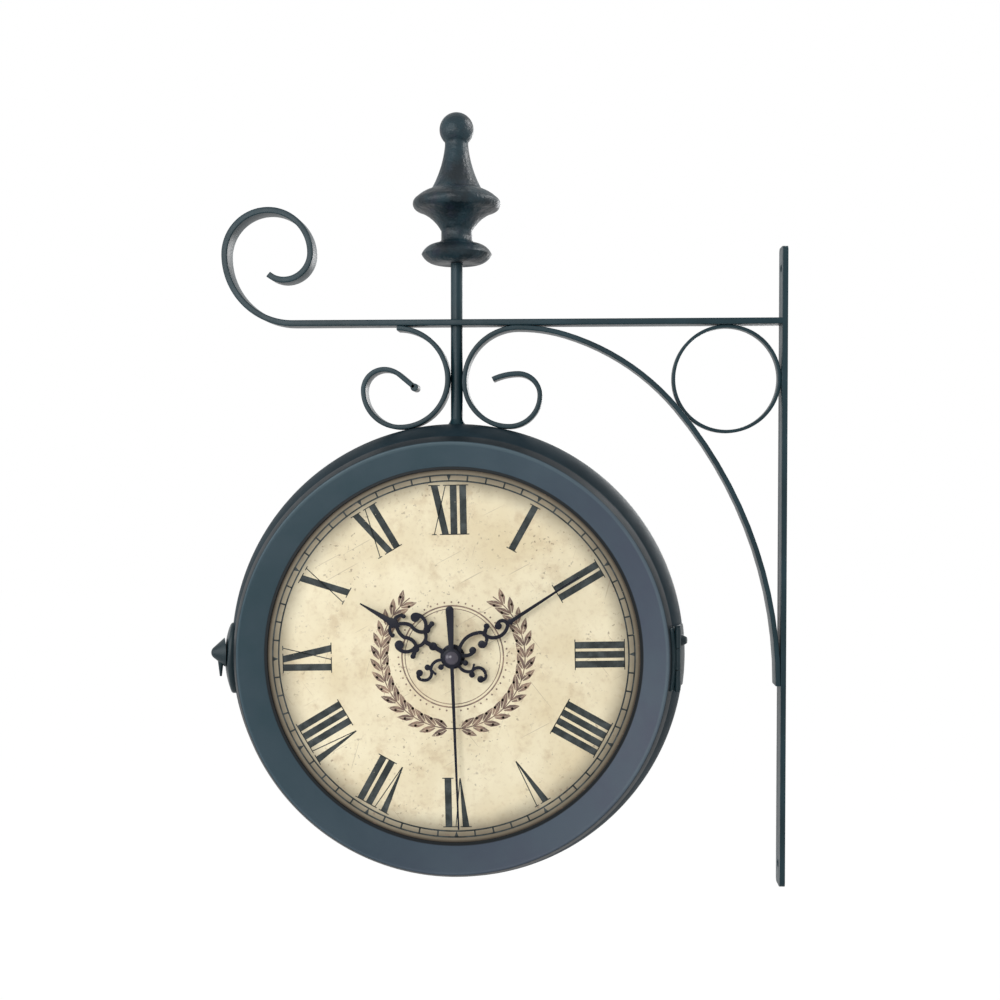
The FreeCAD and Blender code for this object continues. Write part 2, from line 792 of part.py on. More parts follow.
def movement_case():
    shell = rounded_block(case_wall, cover_front, case_front)
    room = rounded_block(0, cover_front, case_front - case_wall)
    wall = block((-room_across, room_across), (cover_front, case_front - case_wall), (bay_top, bay_wall_top))
    case = joined([shell.cut(room.cut(wall)), tube(boss_r, 0, case_front - case_wall, boss_top)])
    case = case.cut(tube(hour_pipe_r + running_gap, 0, cover_front, boss_top))
    socket_back = case_front - case_wall
    socket = tube(motion_arbor_r + running_gap, 0, socket_back, socket_back + motion_socket)
    return case.cut(socket.translated(UP * motion_centre))


def movement_cover():
    plate = rounded_block(case_wall, case_back, cover_front)
    plate = plate.cut(block((-2 * room_across, 2 * room_across), (0, case_front), (-2 * room_up, bay_top)))
    plate = plate.cut(tube(second_arbor_r + running_gap, 0, case_back, cover_front))
    arbor_hole = tube(motion_arbor_r + running_gap, 0, case_back, cover_front)
    return plate.cut(arbor_hole.translated(UP * motion_centre))


def movement_washer():
    return tube(washer_r, boss_r + boss_clearance, case_front, dial_back)


def shaft_nut():
    flange = tube(shaft_nut_flange_r, 0, dial_face, dial_face + shaft_nut_flange)
    nut = hexagon(shaft_nut_flats, shaft_nut_height, Vector(0, -dial_face, 0), FRONT)
    return joined([flange, nut]).cut(tube(boss_r + boss_clearance, 0, dial_face, boss_top))


def gear(teeth, module, back, front, phase):
    """Straight-flanked gear with a tooth at phase degrees clockwise from the top."""
    pitch = 360 / teeth
    radius = module * teeth / 2
    spots = ((-0.30, -tooth_root), (-0.13, tooth_rise), (0.13, tooth_rise), (0.30, -tooth_root))
    points = []
    for tooth in range(teeth):
        for share, rise in spots:
            angle = math.radians(phase + pitch * (tooth + share))
            reach = radius + module * rise
            points.append(Vector(reach * math.sin(angle), -back, reach * math.cos(angle)))
    return polygon(*points).extrude(FRONT * (front - back))


def hour_wheel():
    wheel = gear(hour_teeth, hour_module, hour_wheel_back, hour_wheel_front, 180 / hour_teeth)
    pipe = tube(hour_pipe_r, 0, hour_wheel_back, hour_hand_back + hand_thickness)
    return joined([wheel, pipe]).cut(tube(minute_tube_r + running_gap, 0, hour_wheel_back, second_hand_back))


def minute_arbor():
    pinion = gear(minute_teeth, motion_module, minute_pinion_back, minute_pinion_back + pinion_thickness, 0)
    sleeve = tube(minute_tube_r, 0, minute_pinion_back, minute_hand_back + hand_thickness)
    bore = tube(second_arbor_r + running_gap, 0, minute_pinion_back, second_hand_back)
    return joined([pinion, sleeve]).cut(bore)


def second_arbor():
    arbor = tube(second_arbor_r, 0, case_back, second_hand_back + hand_thickness)
    wheel = tube(second_wheel_r, 0, second_wheel_front - second_wheel_thickness, second_wheel_front)
    return joined([arbor, wheel])


def motion_wheel():
    knob_back = case_back - set_knob_gap - set_knob_thickness
    arbor = tube(motion_arbor_r, 0, knob_back, case_front - case_wall + motion_socket - gear_play / 2)
    wheel = gear(motion_teeth, motion_module, motion_wheel_back, motion_wheel_front, 180 + 180 / motion_teeth)
    pinion = gear(motion_pinion_teeth, hour_module, motion_wheel_front, hour_wheel_front + gear_play / 2, 180)
    return joined([arbor, wheel, pinion]).translated(UP * motion_centre)


def set_knob():
    front = case_back - set_knob_gap
    grip = gear(set_knob_teeth, 2 * set_knob_r / set_knob_teeth, front - set_knob_thickness, front, 0)
    return grip.cut(tube(motion_arbor_r, 0, front - set_knob_thickness, front)).translated(UP * motion_centre)


def cell():
    start = Vector(-cell_half, -cell_depth, cell_height)
    body = Part.makeCylinder(cell_r, cell_length, start, Vector(1, 0, 0))
    nub = Part.makeCylinder(cell_nub_r, cell_nub, start + Vector(cell_length, 0, 0), Vector(1, 0, 0))
    return joined([body, nub])


def contacts():
    plates = []
    for sign in (-1, 1):
        inner, outer = sorted((sign * (room_across - contact_sheet), sign * room_across))
        half = contact_width / 2
        plate = block((inner, outer), (cover_front, cell_depth + half),
                      (cell_height - half, cell_height + half))
        spring = Part.makeCone(half, cell_nub_r, contact_spring,
                               Vector(sign * (room_across - contact_sheet), -cell_depth, cell_height),
                               Vector(-sign, 0, 0))
        plates.append(joined([plate, spring]))
    return Part.makeCompound(plates)


def drive_coil():
    """Wound bobbin with square cheeks, standing on the cover against the case's top wall."""
    half = coil_flange_size / 2
    start = Vector(-coil_length / 2, -cover_front - half, room_up - half)
    pieces = [Part.makeCylinder(half - coil_flange_rise, coil_length, start, Vector(1, 0, 0))]
    for x in (-coil_length / 2 - coil_flange, coil_length / 2):
        pieces.append(block((x, x + coil_flange), (cover_front, cover_front + coil_flange_size),
                            (room_up - coil_flange_size, room_up)))
    return joined(pieces)


# Hands: flat pierced plates drawn pointing up, (x, z) from the arbor, then turned to the time

def at(x, z):
    return Vector(x, 0, z)


def ball(x, z, radius):
    return Part.Face(Part.Wire(Part.makeCircle(radius, at(x, z), ALONG_Y)))


def taper(start, start_half, end, end_half):
    along = (end - start).normalize()
    side = Vector(along.z, 0, -along.x)
    return polygon(start + side * start_half, end + side * end_half,
                   end - side * end_half, start - side * start_half)


def bow(start, middle, end, half):
    """Strip of even width along the arc through three points."""
    centre = Part.Arc(start, middle, end).toShape().Curve.Center

    def moved(point, offset):
        spoke = point - centre
        return centre + spoke * ((spoke.Length + offset) / spoke.Length)

    wire = outline(moved(start, half), (moved(middle, half), moved(end, half)), moved(end, -half),
                   (moved(middle, -half), moved(start, -half)))
    return Part.Face(wire)


def tail_shapes():
    """S-shaped tail with balls, the same on the hour and the minute hand."""
    return [bow(at(-1.0, -5.0), at(-3.6, -10.8), at(-1.0, -15.6), tail_half),
            taper(at(0.6, -5.0), 0.9, at(1.3, -8.8), 0.8), ball(1.3, -9.2, 1.8),
            taper(at(-0.6, -15.4), tail_half, at(-3.0, -16.6), 0.9), ball(-3.2, -16.7, 1.9),
            taper(at(-0.8, -15.8), 0.9, at(3.0, -14.6), 0.6), ball(3.0, -14.6, 0.8),
            bow(at(-1.0, -15.6), at(3.4, -19.4), at(1.4, -24.2), tail_half),
            bow(at(1.4, -24.2), at(-0.7, -25.2), at(-2.8, -23.8), tail_half), ball(-2.9, -23.0, 2.2)]


def hour_shapes():
    shapes = [ball(0, 0, hub_r), taper(at(0, 4), 1.6, at(0, 21.5), 1.4), ball(0, 14.2, 2.7),
              polygon(at(0, 38.8), at(3.4, 43.4), at(2.0, 47.5), at(-2.0, 47.5), at(-3.4, 43.4)),
              taper(at(0, 46), 2.0, at(0, hour_hand_length), 0.4)]
    for s in (-1, 1):
        shapes += [bow(at(0, 20.6), at(s * 3.3, 21.4), at(s * 5.4, 23.6), scroll_half),
                   bow(at(s * 5.4, 23.6), at(s * 3.4, 28.4), at(s * 4.4, 33.0), scroll_half),
                   bow(at(s * 4.4, 32.6), at(s * 3.8, 36.6), at(s * 1.2, 40.6), scroll_half),
                   taper(at(s * 4.8, 23.5), 1.5, at(s * 12.0, 22.2), 1.4), ball(s * 12.2, 22.2, 1.7),
                   ball(s * 7.2, 22.9, 2.2),
                   bow(at(s * 5.8, 23.9), at(s * 12.3, 28.2), at(s * 12.1, 34.6), scroll_half),
                   ball(s * 10.4, 33.6, 3.0),
                   bow(at(s * 1.6, 44.4), at(s * 5.4, 43.6), at(s * 7.5, 40.6), tail_half),
                   ball(s * 7.2, 40.4, 1.4)]
    return shapes


def minute_shapes():
    return [ball(0, 0, hub_r), bow(at(0.6, 5.0), at(-5.7, 14.2), at(-4.4, 23.2), scroll_half),
            bow(at(-4.4, 23.2), at(-0.4, 26.3), at(3.2, 24.2), scroll_half),
            bow(at(3.2, 24.2), at(4.5, 22.6), at(4.6, 20.8), scroll_half), ball(3.0, 21.0, 2.5),
            bow(at(0.2, 5.2), at(4.2, 9.6), at(4.4, 13.6), scroll_half), ball(3.2, 14.0, 2.3),
            taper(at(-1.6, 26.0), 1.4, at(-4.9, 29.8), 1.2), ball(-5.1, 30.0, 1.9),
            bow(at(-2.0, 25.6), at(4.9, 34.4), at(0.8, 42.4), scroll_half),
            bow(at(1.0, 42.0), at(-2.8, 40.4), at(-2.6, 36.6), scroll_half), ball(-1.2, 36.4, 2.3),
            taper(at(0.7, 41.0), 1.3, at(0, minute_hand_length), 0.45),
            polygon(at(0.6, 42.2), at(2.9, 44.5), at(0.6, 46.8), at(-1.7, 44.5))]


def cut_hand(shapes, back, bore_r, angle):
    plates = [shape.translated(FRONT * back).extrude(FRONT * hand_thickness) for shape in shapes]
    hand = joined(plates).cut(tube(bore_r, 0, back, back + hand_thickness))
    hand.rotate(Vector(), ALONG_Y, angle)
    return hand


def second_hand():
    shapes = [ball(0, 0, hub_r),
              taper(at(0, 0), second_root_half, at(0, second_hand_length), second_tip_half),
              taper(at(0, 0), counterweight_root_half, at(0, -counterweight_length), counterweight_r),
              ball(0, -counterweight_length, counterweight_r)]
    hand = cut_hand(shapes, second_hand_back, second_arbor_r, second_angle)
    dome_r = (cap_r ** 2 + cap_rise ** 2) / (2 * cap_rise)
    front = second_hand_back + hand_thickness
    dome = Part.makeSphere(dome_r, Vector(0, dome_r - cap_rise - front, 0))
    return joined([hand, dome.common(tube(cap_r, 0, front, front + cap_rise))])


# Assembly

scroll, sweep_arcs = rear_scroll()
nodes["wall_bar"] = wall_bar()
nodes["top_arm"] = top_arm()
nodes["front_scroll"] = front_scroll()
nodes["rear_scroll"] = scroll
nodes["corner_ring"] = corner_ring(sweep_arcs)
nodes["hanger_rod"] = hanger_rod()
nodes["finial"] = finial()
nodes["rod_saddle"] = seat(rod_saddle())
nodes["rod_nut"] = seat(rod_nut())
nodes["case_drum"] = seat(case_drum())
nodes["rear_bezel_screws"] = seat(rear_screws())
nodes["hinge_case_leaf"] = seat(hinge_case_leaf())
nodes["hinge_lid_leaf"] = seat(hinge_lid_leaf())
nodes["hinge_pin"] = seat(hinge_pin())
nodes["catch_rose"] = seat(catch_rose())
nodes["catch_knob"] = seat(catch_knob())
nodes["catch_cam"] = seat(catch_cam())
nodes["lid_keeper"] = seat(lid_keeper())

face_pieces = {
    "dial": dial(),
    "movement_case": movement_case(),
    "movement_cover": movement_cover(),
    "movement_washer": movement_washer(),
    "shaft_nut": shaft_nut(),
    "hour_wheel": hour_wheel(),
    "hour_hand": cut_hand(hour_shapes() + tail_shapes(), hour_hand_back, hour_pipe_r, hour_angle),
    "minute_arbor": minute_arbor(),
    "minute_hand": cut_hand(minute_shapes() + tail_shapes(), minute_hand_back, minute_tube_r, minute_angle),
    "second_arbor": second_arbor(),
    "second_hand": second_hand(),
    "motion_wheel": motion_wheel(),
    "set_knob": set_knob(),
    "cell": cell(),
    "contacts": contacts(),
    "drive_coil": drive_coil(),
}
for side in ("front", "rear"):
    for piece, shape in face_pieces.items():
        nodes[side + "_" + piece] = seat(shape, side)
nodes["front_bezel"] = seat(bezel())
rear_holes = [hole.rotated(Vector(), UP, 180) for hole in screw_holes()]
nodes["rear_bezel"] = seat(bezel().cut(rear_holes), "rear")

os.makedirs("parts", exist_ok=True)
for name, shape in nodes.items():
    shape.exportStep("parts/" + name + ".step")
    state = "valid" if shape.isValid() else "INVALID"
    print(name, len(shape.Solids), state, round(shape.Volume, 1))
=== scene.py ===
import json
import math

import bmesh
import bpy
from mathutils import Matrix, Vector


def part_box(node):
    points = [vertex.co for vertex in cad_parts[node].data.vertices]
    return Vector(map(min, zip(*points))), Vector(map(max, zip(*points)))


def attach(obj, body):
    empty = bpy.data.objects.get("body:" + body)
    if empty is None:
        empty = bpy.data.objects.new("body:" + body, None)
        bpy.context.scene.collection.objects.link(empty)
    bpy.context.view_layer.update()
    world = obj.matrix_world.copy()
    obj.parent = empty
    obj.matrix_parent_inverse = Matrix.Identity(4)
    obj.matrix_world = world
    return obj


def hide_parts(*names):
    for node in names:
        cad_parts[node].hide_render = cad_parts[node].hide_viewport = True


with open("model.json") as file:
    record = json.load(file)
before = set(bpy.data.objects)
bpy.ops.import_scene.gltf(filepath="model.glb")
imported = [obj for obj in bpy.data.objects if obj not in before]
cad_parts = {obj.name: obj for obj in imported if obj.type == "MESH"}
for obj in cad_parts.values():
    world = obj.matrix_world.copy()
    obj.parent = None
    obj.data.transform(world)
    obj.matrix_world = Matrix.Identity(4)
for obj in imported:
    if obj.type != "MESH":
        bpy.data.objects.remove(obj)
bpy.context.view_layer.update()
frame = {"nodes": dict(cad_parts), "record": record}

# Wall bar: upright flat steel bar with rounded ends, screwed to the wall through two holes.
# Like all the ironwork it is sprayed satin graphite, with a faint orange peel.
MM = 0.001


class Tone:
    """A socket of a material; arithmetic on it adds Math nodes."""

    def __init__(self, tree, socket):
        self.tree = tree
        self.socket = socket

    def node(self, kind, settings=None, inputs=None, output=0):
        """Adds a node: its settings, then the values or links of its sockets."""
        made = self.tree.nodes.new(kind)
        for key, value in (settings or {}).items():
            setattr(made, key, value)
        for key, value in (inputs or {}).items():
            if isinstance(value, Tone):
                self.tree.links.new(value.socket, made.inputs[key])
            else:
                made.inputs[key].default_value = value
        return Tone(self.tree, made.outputs[output])

    def maths(self, operation, first, second=0.0):
        return self.node("ShaderNodeMath", {"operation": operation}, {0: first, 1: second})

    def __add__(self, other):
        return self.maths("ADD", self, other)

    def __radd__(self, other):
        return self.maths("ADD", other, self)

    def __sub__(self, other):
        return self.maths("SUBTRACT", self, other)

    def __rsub__(self, other):
        return self.maths("SUBTRACT", other, self)

    def __mul__(self, other):
        return self.maths("MULTIPLY", self, other)

    def __rmul__(self, other):
        return self.maths("MULTIPLY", other, self)

    def larger(self, other):
        return self.maths("MAXIMUM", self, other)

    def between(self, low, high):
        """0 below low, 1 above high, eased between them."""
        return self.node("ShaderNodeMapRange", {"interpolation_type": "SMOOTHSTEP"},
                         {"Value": self, "From Min": low, "From Max": high})

    def blend(self, first, second):
        """Mixes two colours by this value."""
        return self.node("ShaderNodeMix", {"data_type": "RGBA"}, {"Factor": self, 6: first, 7: second}, 2)

    def noise(self, scale, detail=3.0, roughness=0.55):
        """Noise read at this vector."""
        return self.node("ShaderNodeTexNoise", {}, {"Vector": self, "Scale": scale, "Detail": detail,
                                                     "Roughness": roughness})

    def mapped(self, location=(0, 0, 0), turn=(0, 0, 0), scale=(1, 1, 1)):
        """This vector stretched, turned and shifted."""
        return self.node("ShaderNodeMapping", {}, {"Vector": self, "Location": location, "Rotation": turn,
                                                    "Scale": scale})

    def feed(self, shader, socket):
        self.tree.links.new(self.socket, shader.inputs[socket])


def colour(red, green, blue):
    """Display colour, 0 to 255, as the linear colour that a shader takes."""
    def linear(part):
        part /= 255
        return part / 12.92 if part <= 0.04045 else ((part + 0.055) / 1.055) ** 2.4
    return (linear(red), linear(green), linear(blue), 1.0)


def new_finish(name):
    """Empty material: itself, its shader and the object coordinates."""
    material = bpy.data.materials.new(name)
    material.use_nodes = True
    tree = material.node_tree
    spot = tree.nodes.new("ShaderNodeTexCoord").outputs["Object"]
    return material, tree.nodes["Principled BSDF"], Tone(tree, spot)


def bumped(shader, spot, height, strength=0.25):
    """Fine relief on a finish, in shares of a millimetre."""
    bump = spot.node("ShaderNodeBump", {}, {"Strength": strength, "Distance": MM, "Height": height})
    bump.feed(shader, "Normal")


CLOUD_BAND = (0.3, 0.7)
GLOSS_SCALE = 160.0
GLOSS_SPREAD = 0.14
GRAIN_SCALE = 1500.0


def finish(name, dark, light, rough=0.4, cloud=28.0, grain=0.1, metallic=0.0, coat=0.0, sheen=0.5):
    """Cloudy colour, uneven gloss and a fine grain; sheen is the strength of its reflections."""
    material, shader, spot = new_finish(name)
    spot.noise(cloud).between(*CLOUD_BAND).blend(dark, light).feed(shader, "Base Color")
    (rough + GLOSS_SPREAD * (spot.noise(GLOSS_SCALE) - 0.5)).feed(shader, "Roughness")
    shader.inputs["Metallic"].default_value = metallic
    shader.inputs["Coat Weight"].default_value = coat
    shader.inputs["Specular IOR Level"].default_value = sheen
    bumped(shader, spot, grain * spot.noise(GRAIN_SCALE, 2.0))
    return material


SAME_POINT = 0.001


def piece(name, bm, material, body, slot, *nodes, crease=35.0):
    """Turns a bmesh in millimetres into an object that rides on a body and stands for CAD nodes."""
    bmesh.ops.remove_doubles(bm, verts=bm.verts, dist=SAME_POINT)
    bmesh.ops.recalc_face_normals(bm, faces=bm.faces)
    bmesh.ops.scale(bm, vec=(MM, MM, MM), verts=bm.verts)
    mesh = bpy.data.meshes.new(name)
    bm.to_mesh(mesh)
    bm.free()
    mesh.shade_smooth()
    mesh.set_sharp_from_angle(angle=math.radians(crease))
    mesh.materials.append(material)
    made = bpy.data.objects.new(name, mesh)
    bpy.context.scene.collection.objects.link(made)
    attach(made, body)
    if nodes:
        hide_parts(*nodes)
    return made


EASE_SEGMENTS = 2
EASE_ANGLE = math.radians(40)


def eased(made, width):
    """Rounds the sharp edges of a piece by a width in millimetres."""
    bevel = made.modifiers.new("eased_edges", "BEVEL")
    bevel.width = width * MM
    bevel.segments = EASE_SEGMENTS
    bevel.limit_method = "ANGLE"
    bevel.angle_limit = EASE_ANGLE
    bevel.harden_normals = False
    return made


BODY_OF = {node: body for body, members in frame["record"]["behaviour"]["bodies"].items() for node in members}
SLOT_OF = {part["node"]: part["material_slot"] for part in frame["record"]["subparts"]}


def dressed(node, material, ease=0.0, crease=35.0):
    """Smooth copy of a CAD node with eased edges."""
    bm = bmesh.new()
    bm.from_mesh(frame["nodes"][node].data)
    bmesh.ops.scale(bm, vec=(1 / MM,) * 3, verts=bm.verts)
    made = piece(node + "_finished", bm, material, BODY_OF[node], SLOT_OF[node], node, crease=crease)
    return eased(made, ease) if ease else made


GRAPHITE_DARK = colour(13, 38, 45)
GRAPHITE_LIGHT = colour(25, 50, 58)
graphite = finish("graphite_satin", GRAPHITE_DARK, GRAPHITE_LIGHT, sheen=0.25)
CASE_BODY = "bracket_and_case"
PAINT = "graphite_paint"

dressed("wall_bar", graphite, ease=0.5)

# Arm: flat bar welded to the wall bar, its front end rolled up into an open curl.
# It is bent cold from one length, so its long edges stay slightly eased.
ACROSS = Vector((0, 1, 0))
BAR_WIDTH = 16.0
WALL_FACE_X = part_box("wall_bar")[0].x / MM
ARM_THICKNESS = 4.0
ARM_Z = 163.0
CURL_X = -328.0
CURL_TURNS = ((46.0, 90.0), (29.5, 90.0), (28.5, 90.0), (18.0, 90.0), (16.0, 40.0))
LEAST_BEND_STEPS = 6
BEND_STEP = 3


def only(geometry, kind):
    """Members of one kind in an operator's result."""
    return [item for item in geometry if isinstance(item, kind)]


def bent_bar(start, heading, moves, thickness, width=BAR_WIDTH, ease=0.6):
    """Flat bar led through (radius, degrees) turns, clockwise when positive, or (0, length) runs."""
    bm = bmesh.new()
    bmesh.ops.create_grid(bm, x_segments=1, y_segments=1, size=0.5)
    bmesh.ops.scale(bm, vec=(thickness, width, 1), verts=bm.verts)
    bmesh.ops.bevel(bm, geom=bm.verts[:], offset=ease, affect="VERTICES", segments=3, profile=0.5,
                    material=-1)
    point = Vector((start[0], 0, start[1]))
    angle = math.radians(heading)
    ahead = Vector((math.cos(angle), 0, math.sin(angle)))
    right = Vector((math.sin(angle), 0, -math.cos(angle)))
    placed = Matrix.Translation(point) @ Matrix((right, ACROSS, ahead)).transposed().to_4x4()
    bmesh.ops.transform(bm, matrix=placed, verts=bm.verts)
    rim = bm.edges[:]
    for radius, amount in moves:
        if radius:
            centre = point + right * math.copysign(radius, amount)
            turn = math.radians(amount)
            steps = max(LEAST_BEND_STEPS, int(abs(amount) / BEND_STEP))
            made = bmesh.ops.spin(bm, geom=rim, cent=centre, axis=ACROSS, angle=turn, steps=steps)
            rim = only(made["geom_last"], bmesh.types.BMEdge)
            swing = Matrix.Rotation(turn, 3, "Y")
            point = centre + swing @ (point - centre)
            ahead = swing @ ahead
            right = swing @ right
        else:
            made = bmesh.ops.extrude_edge_only(bm, edges=rim)
            moved = only(made["geom"], bmesh.types.BMVert)
            bmesh.ops.translate(bm, vec=ahead * amount, verts=moved)
            rim = [edge for edge in only(made["geom"], bmesh.types.BMEdge) if set(edge.verts) <= set(moved)]
            point = point + ahead * amount
    bmesh.ops.edgeloop_fill(bm, edges=rim)
    return bm, point


bm, _ = bent_bar((WALL_FACE_X, ARM_Z), 180, ((0, WALL_FACE_X - CURL_X),) + CURL_TURNS, ARM_THICKNESS)
piece("arm_with_curl", bm, graphite, CASE_BODY, PAINT, "top_arm")

# Front scroll: strip bent into a spiral that touches the rod, the arm and the drum.
# Its inner end is drawn straight and closed by a small rolled bead.
CLOCK_X = -218.5
CLOCK_Z = -56.0
DRUM_R = 151.7
ROD_R = 4.0
SCROLL_THICKNESS = 3.2
ROD_SIDE = ROD_R + SCROLL_THICKNESS / 2
STRIP_TOP = ARM_Z - ARM_THICKNESS / 2 - SCROLL_THICKNESS / 2
FRONT_FALL_R = 34.0
FRONT_SHARES = ((0.768, 90.0), (0.439, 90.0), (0.502, 40.0))
FRONT_TIP = 13.0
BEAD_R = 2.6
STRIP_EASE = 0.4


def drum_touch_r(height):
    """Radius of the turn that starts beside the rod at a height and just touches the drum."""
    rise = height - CLOCK_Z
    reach = DRUM_R + SCROLL_THICKNESS / 2
    return (ROD_SIDE ** 2 + rise ** 2 - reach ** 2) / (2 * (reach - ROD_SIDE))


drum_turn = drum_touch_r(STRIP_TOP - FRONT_FALL_R)
moves = [(FRONT_FALL_R, 90.0), (drum_turn, 90.0)]
moves += [(share * drum_turn, angle) for share, angle in FRONT_SHARES] + [(0, FRONT_TIP)]
bm, tip = bent_bar((CLOCK_X - ROD_SIDE - FRONT_FALL_R, STRIP_TOP), 0, moves, SCROLL_THICKNESS)
bead = bmesh.ops.create_cone(bm, cap_ends=True, segments=32, radius1=BEAD_R, radius2=BEAD_R, depth=BAR_WIDTH)
bmesh.ops.rotate(bm, matrix=Matrix.Rotation(math.pi / 2, 3, "X"), verts=bead["verts"])
bmesh.ops.translate(bm, vec=tip, verts=bead["verts"])
eased(piece("front_scroll_strip", bm, graphite, CASE_BODY, PAINT, "front_scroll"), STRIP_EASE)

# Rear scroll: strip that starts in a spiral, rises beside the rod, passes under the arm and
# sweeps down in one long curve to the wall bar, where its foot is welded on.
REAR_RISE_R = 35.8
REAR_SHARES = ((0.690, 90.0), (0.488, 90.0), (1.347, 25.0))
FOOT_DROP = 78.0
SWEEP_ANGLES = (17.0, 50.0)
SWEEP_FIRST_SHARE = 0.68


def sweep_radii(across, down):
    """Radii of the three arcs that lead from under the arm to the wall bar."""
    first, second = (math.radians(angle) for angle in SWEEP_ANGLES)
    row_x = (SWEEP_FIRST_SHARE * math.sin(first) + math.sin(second) - math.sin(first), 1 - math.sin(second))
    row_z = (SWEEP_FIRST_SHARE * (1 - math.cos(first)) + math.cos(first) - math.cos(second), math.cos(second))
    scale = row_x[0] * row_z[1] - row_x[1] * row_z[0]
    middle = (across * row_z[1] - row_x[1] * down) / scale
    last = (row_x[0] * down - across * row_z[0]) / scale
    return SWEEP_FIRST_SHARE * middle, middle, last


spring_point = (CLOCK_X + ROD_SIDE, STRIP_TOP - REAR_RISE_R)
across = WALL_FACE_X - SCROLL_THICKNESS / 2 - spring_point[0] - REAR_RISE_R
turns = (SWEEP_ANGLES[0], SWEEP_ANGLES[1] - SWEEP_ANGLES[0], 90 - SWEEP_ANGLES[1])
moves = [(REAR_RISE_R, 90.0)] + list(zip(sweep_radii(across, STRIP_TOP + FOOT_DROP), turns))
bm, _ = bent_bar(spring_point, 90, moves, SCROLL_THICKNESS)
drum_turn = drum_touch_r(spring_point[1])
moves = [(drum_turn, -90.0)] + [(share * drum_turn, -angle) for share, angle in REAR_SHARES]
spiral, _ = bent_bar(spring_point, -90, moves, SCROLL_THICKNESS)
spiral_mesh = bpy.data.meshes.new("rear_spiral")
spiral.to_mesh(spiral_mesh)
spiral.free()
bm.from_mesh(spiral_mesh)
bpy.data.meshes.remove(spiral_mesh)
bmesh.ops.remove_doubles(bm, verts=bm.verts, dist=SAME_POINT)
inside = [face for face in bm.faces if len(face.verts) > 4
          and (face.calc_center_median().xz - Vector(spring_point)).length < 1]
bmesh.ops.delete(bm, geom=inside, context="FACES_ONLY")
piece("rear_scroll_strip", bm, graphite, CASE_BODY, PAINT, "rear_scroll")

# Corner ring: narrow strip rolled into a ring, welded to the arm, the wall bar and the sweep.
# Its joint is ground flush, so it looks like one even hoop.
RING_THICKNESS = 2.2
ring_low, ring_high = (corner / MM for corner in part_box("corner_ring"))
ring_centre = (ring_low + ring_high) / 2
ring_r = (ring_high.x - ring_low.x - RING_THICKNESS) / 2
bm, _ = bent_bar((ring_centre.x - ring_r, ring_centre.z), 90, ((ring_r, 360.0),), RING_THICKNESS,
                 ring_high.y - ring_low.y, STRIP_EASE)
bmesh.ops.delete(bm, geom=[face for face in bm.faces if len(face.verts) > 4], context="FACES_ONLY")
piece("corner_hoop", bm, graphite, CASE_BODY, PAINT, "corner_ring")

# Hanger rod: round steel rod through arm and drum, with a nut inside the case.
# A weld collar closes the gap where it enters the drum.
UP = Vector((0, 0, 1))
rod_low, rod_high = (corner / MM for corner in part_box("hanger_rod"))


def arc(start, middle, end, steps=12):
    """Points after start on the circle through three points of a profile."""
    (ax, ay), (bx, by), (cx, cy) = start, middle, end
    twice = 2 * (ax * (by - cy) + bx * (cy - ay) + cx * (ay - by))
    a, b, c = (x * x + y * y for x, y in (start, middle, end))
    centre = Vector(((a * (by - cy) + b * (cy - ay) + c * (ay - by)) / twice,
                     (a * (cx - bx) + b * (ax - cx) + c * (bx - ax)) / twice))
    spoke = Vector(start) - centre
    sweep = spoke.angle_signed(Vector(end) - centre)
    half = spoke.angle_signed(Vector(middle) - centre)
    if sweep * half < 0 or abs(half) > abs(sweep):
        sweep -= math.copysign(2 * math.pi, sweep)
    turn = [Matrix.Rotation(-sweep * step / steps, 2) for step in range(1, steps + 1)]
    return [tuple(centre + swing @ spoke) for swing in turn]


def lathed(profile, centre, axis, steps, closed=False):
    """Turns a profile of (radius, distance along axis) points about an axis."""
    bm = bmesh.new()
    out = Vector((1, 0, 0))
    verts = [bm.verts.new(centre + out * radius + axis * along) for radius, along in profile]
    ends = verts[1:] + verts[:1] if closed else verts[1:]
    edges = [bm.edges.new(pair) for pair in zip(verts, ends)]
    bmesh.ops.spin(bm, geom=verts + edges, cent=centre, axis=axis, angle=2 * math.pi, steps=steps,
                   use_merge=True)
    bmesh.ops.remove_doubles(bm, verts=bm.verts, dist=SAME_POINT)
    return bm


ROD_EASE = 0.5
ROD_STEPS = 48
rod_axis = Vector((CLOCK_X, 0, 0))
profile = [(0, rod_low.z), (ROD_R - ROD_EASE, rod_low.z), (ROD_R, rod_low.z + ROD_EASE), (ROD_R, rod_high.z),
           (0, rod_high.z)]
piece("rod_bar", lathed(profile, rod_axis, UP, ROD_STEPS), graphite, CASE_BODY, PAINT, "hanger_rod")
COLLAR_R = 6.2
COLLAR_RISE = 3.2
COLLAR_SINK = 0.6
COLLAR_BITE = 0.2
COLLAR_HOLLOW = (0.9, 1.1)
COLLAR_STEPS = 40
drum_top = CLOCK_Z + DRUM_R
foot = (COLLAR_R, drum_top - COLLAR_SINK)
hollow = (ROD_R + COLLAR_HOLLOW[0], drum_top + COLLAR_HOLLOW[1])
crown = (ROD_R, drum_top + COLLAR_RISE)
profile = [(ROD_R - COLLAR_BITE, foot[1]), foot] + arc(foot, hollow, crown, 8)
profile += [(ROD_R - COLLAR_BITE, crown[1])]
bm = lathed(profile, rod_axis, UP, COLLAR_STEPS, closed=True)
piece("rod_weld_collar", bm, graphite, CASE_BODY, PAINT)
bare_steel = finish("bare_steel", colour(128, 130, 132), colour(165, 167, 168), rough=0.34, grain=0.2,
                    metallic=1.0)
dressed("rod_saddle", bare_steel, ease=0.4)
dressed("rod_nut", bare_steel, ease=0.4)

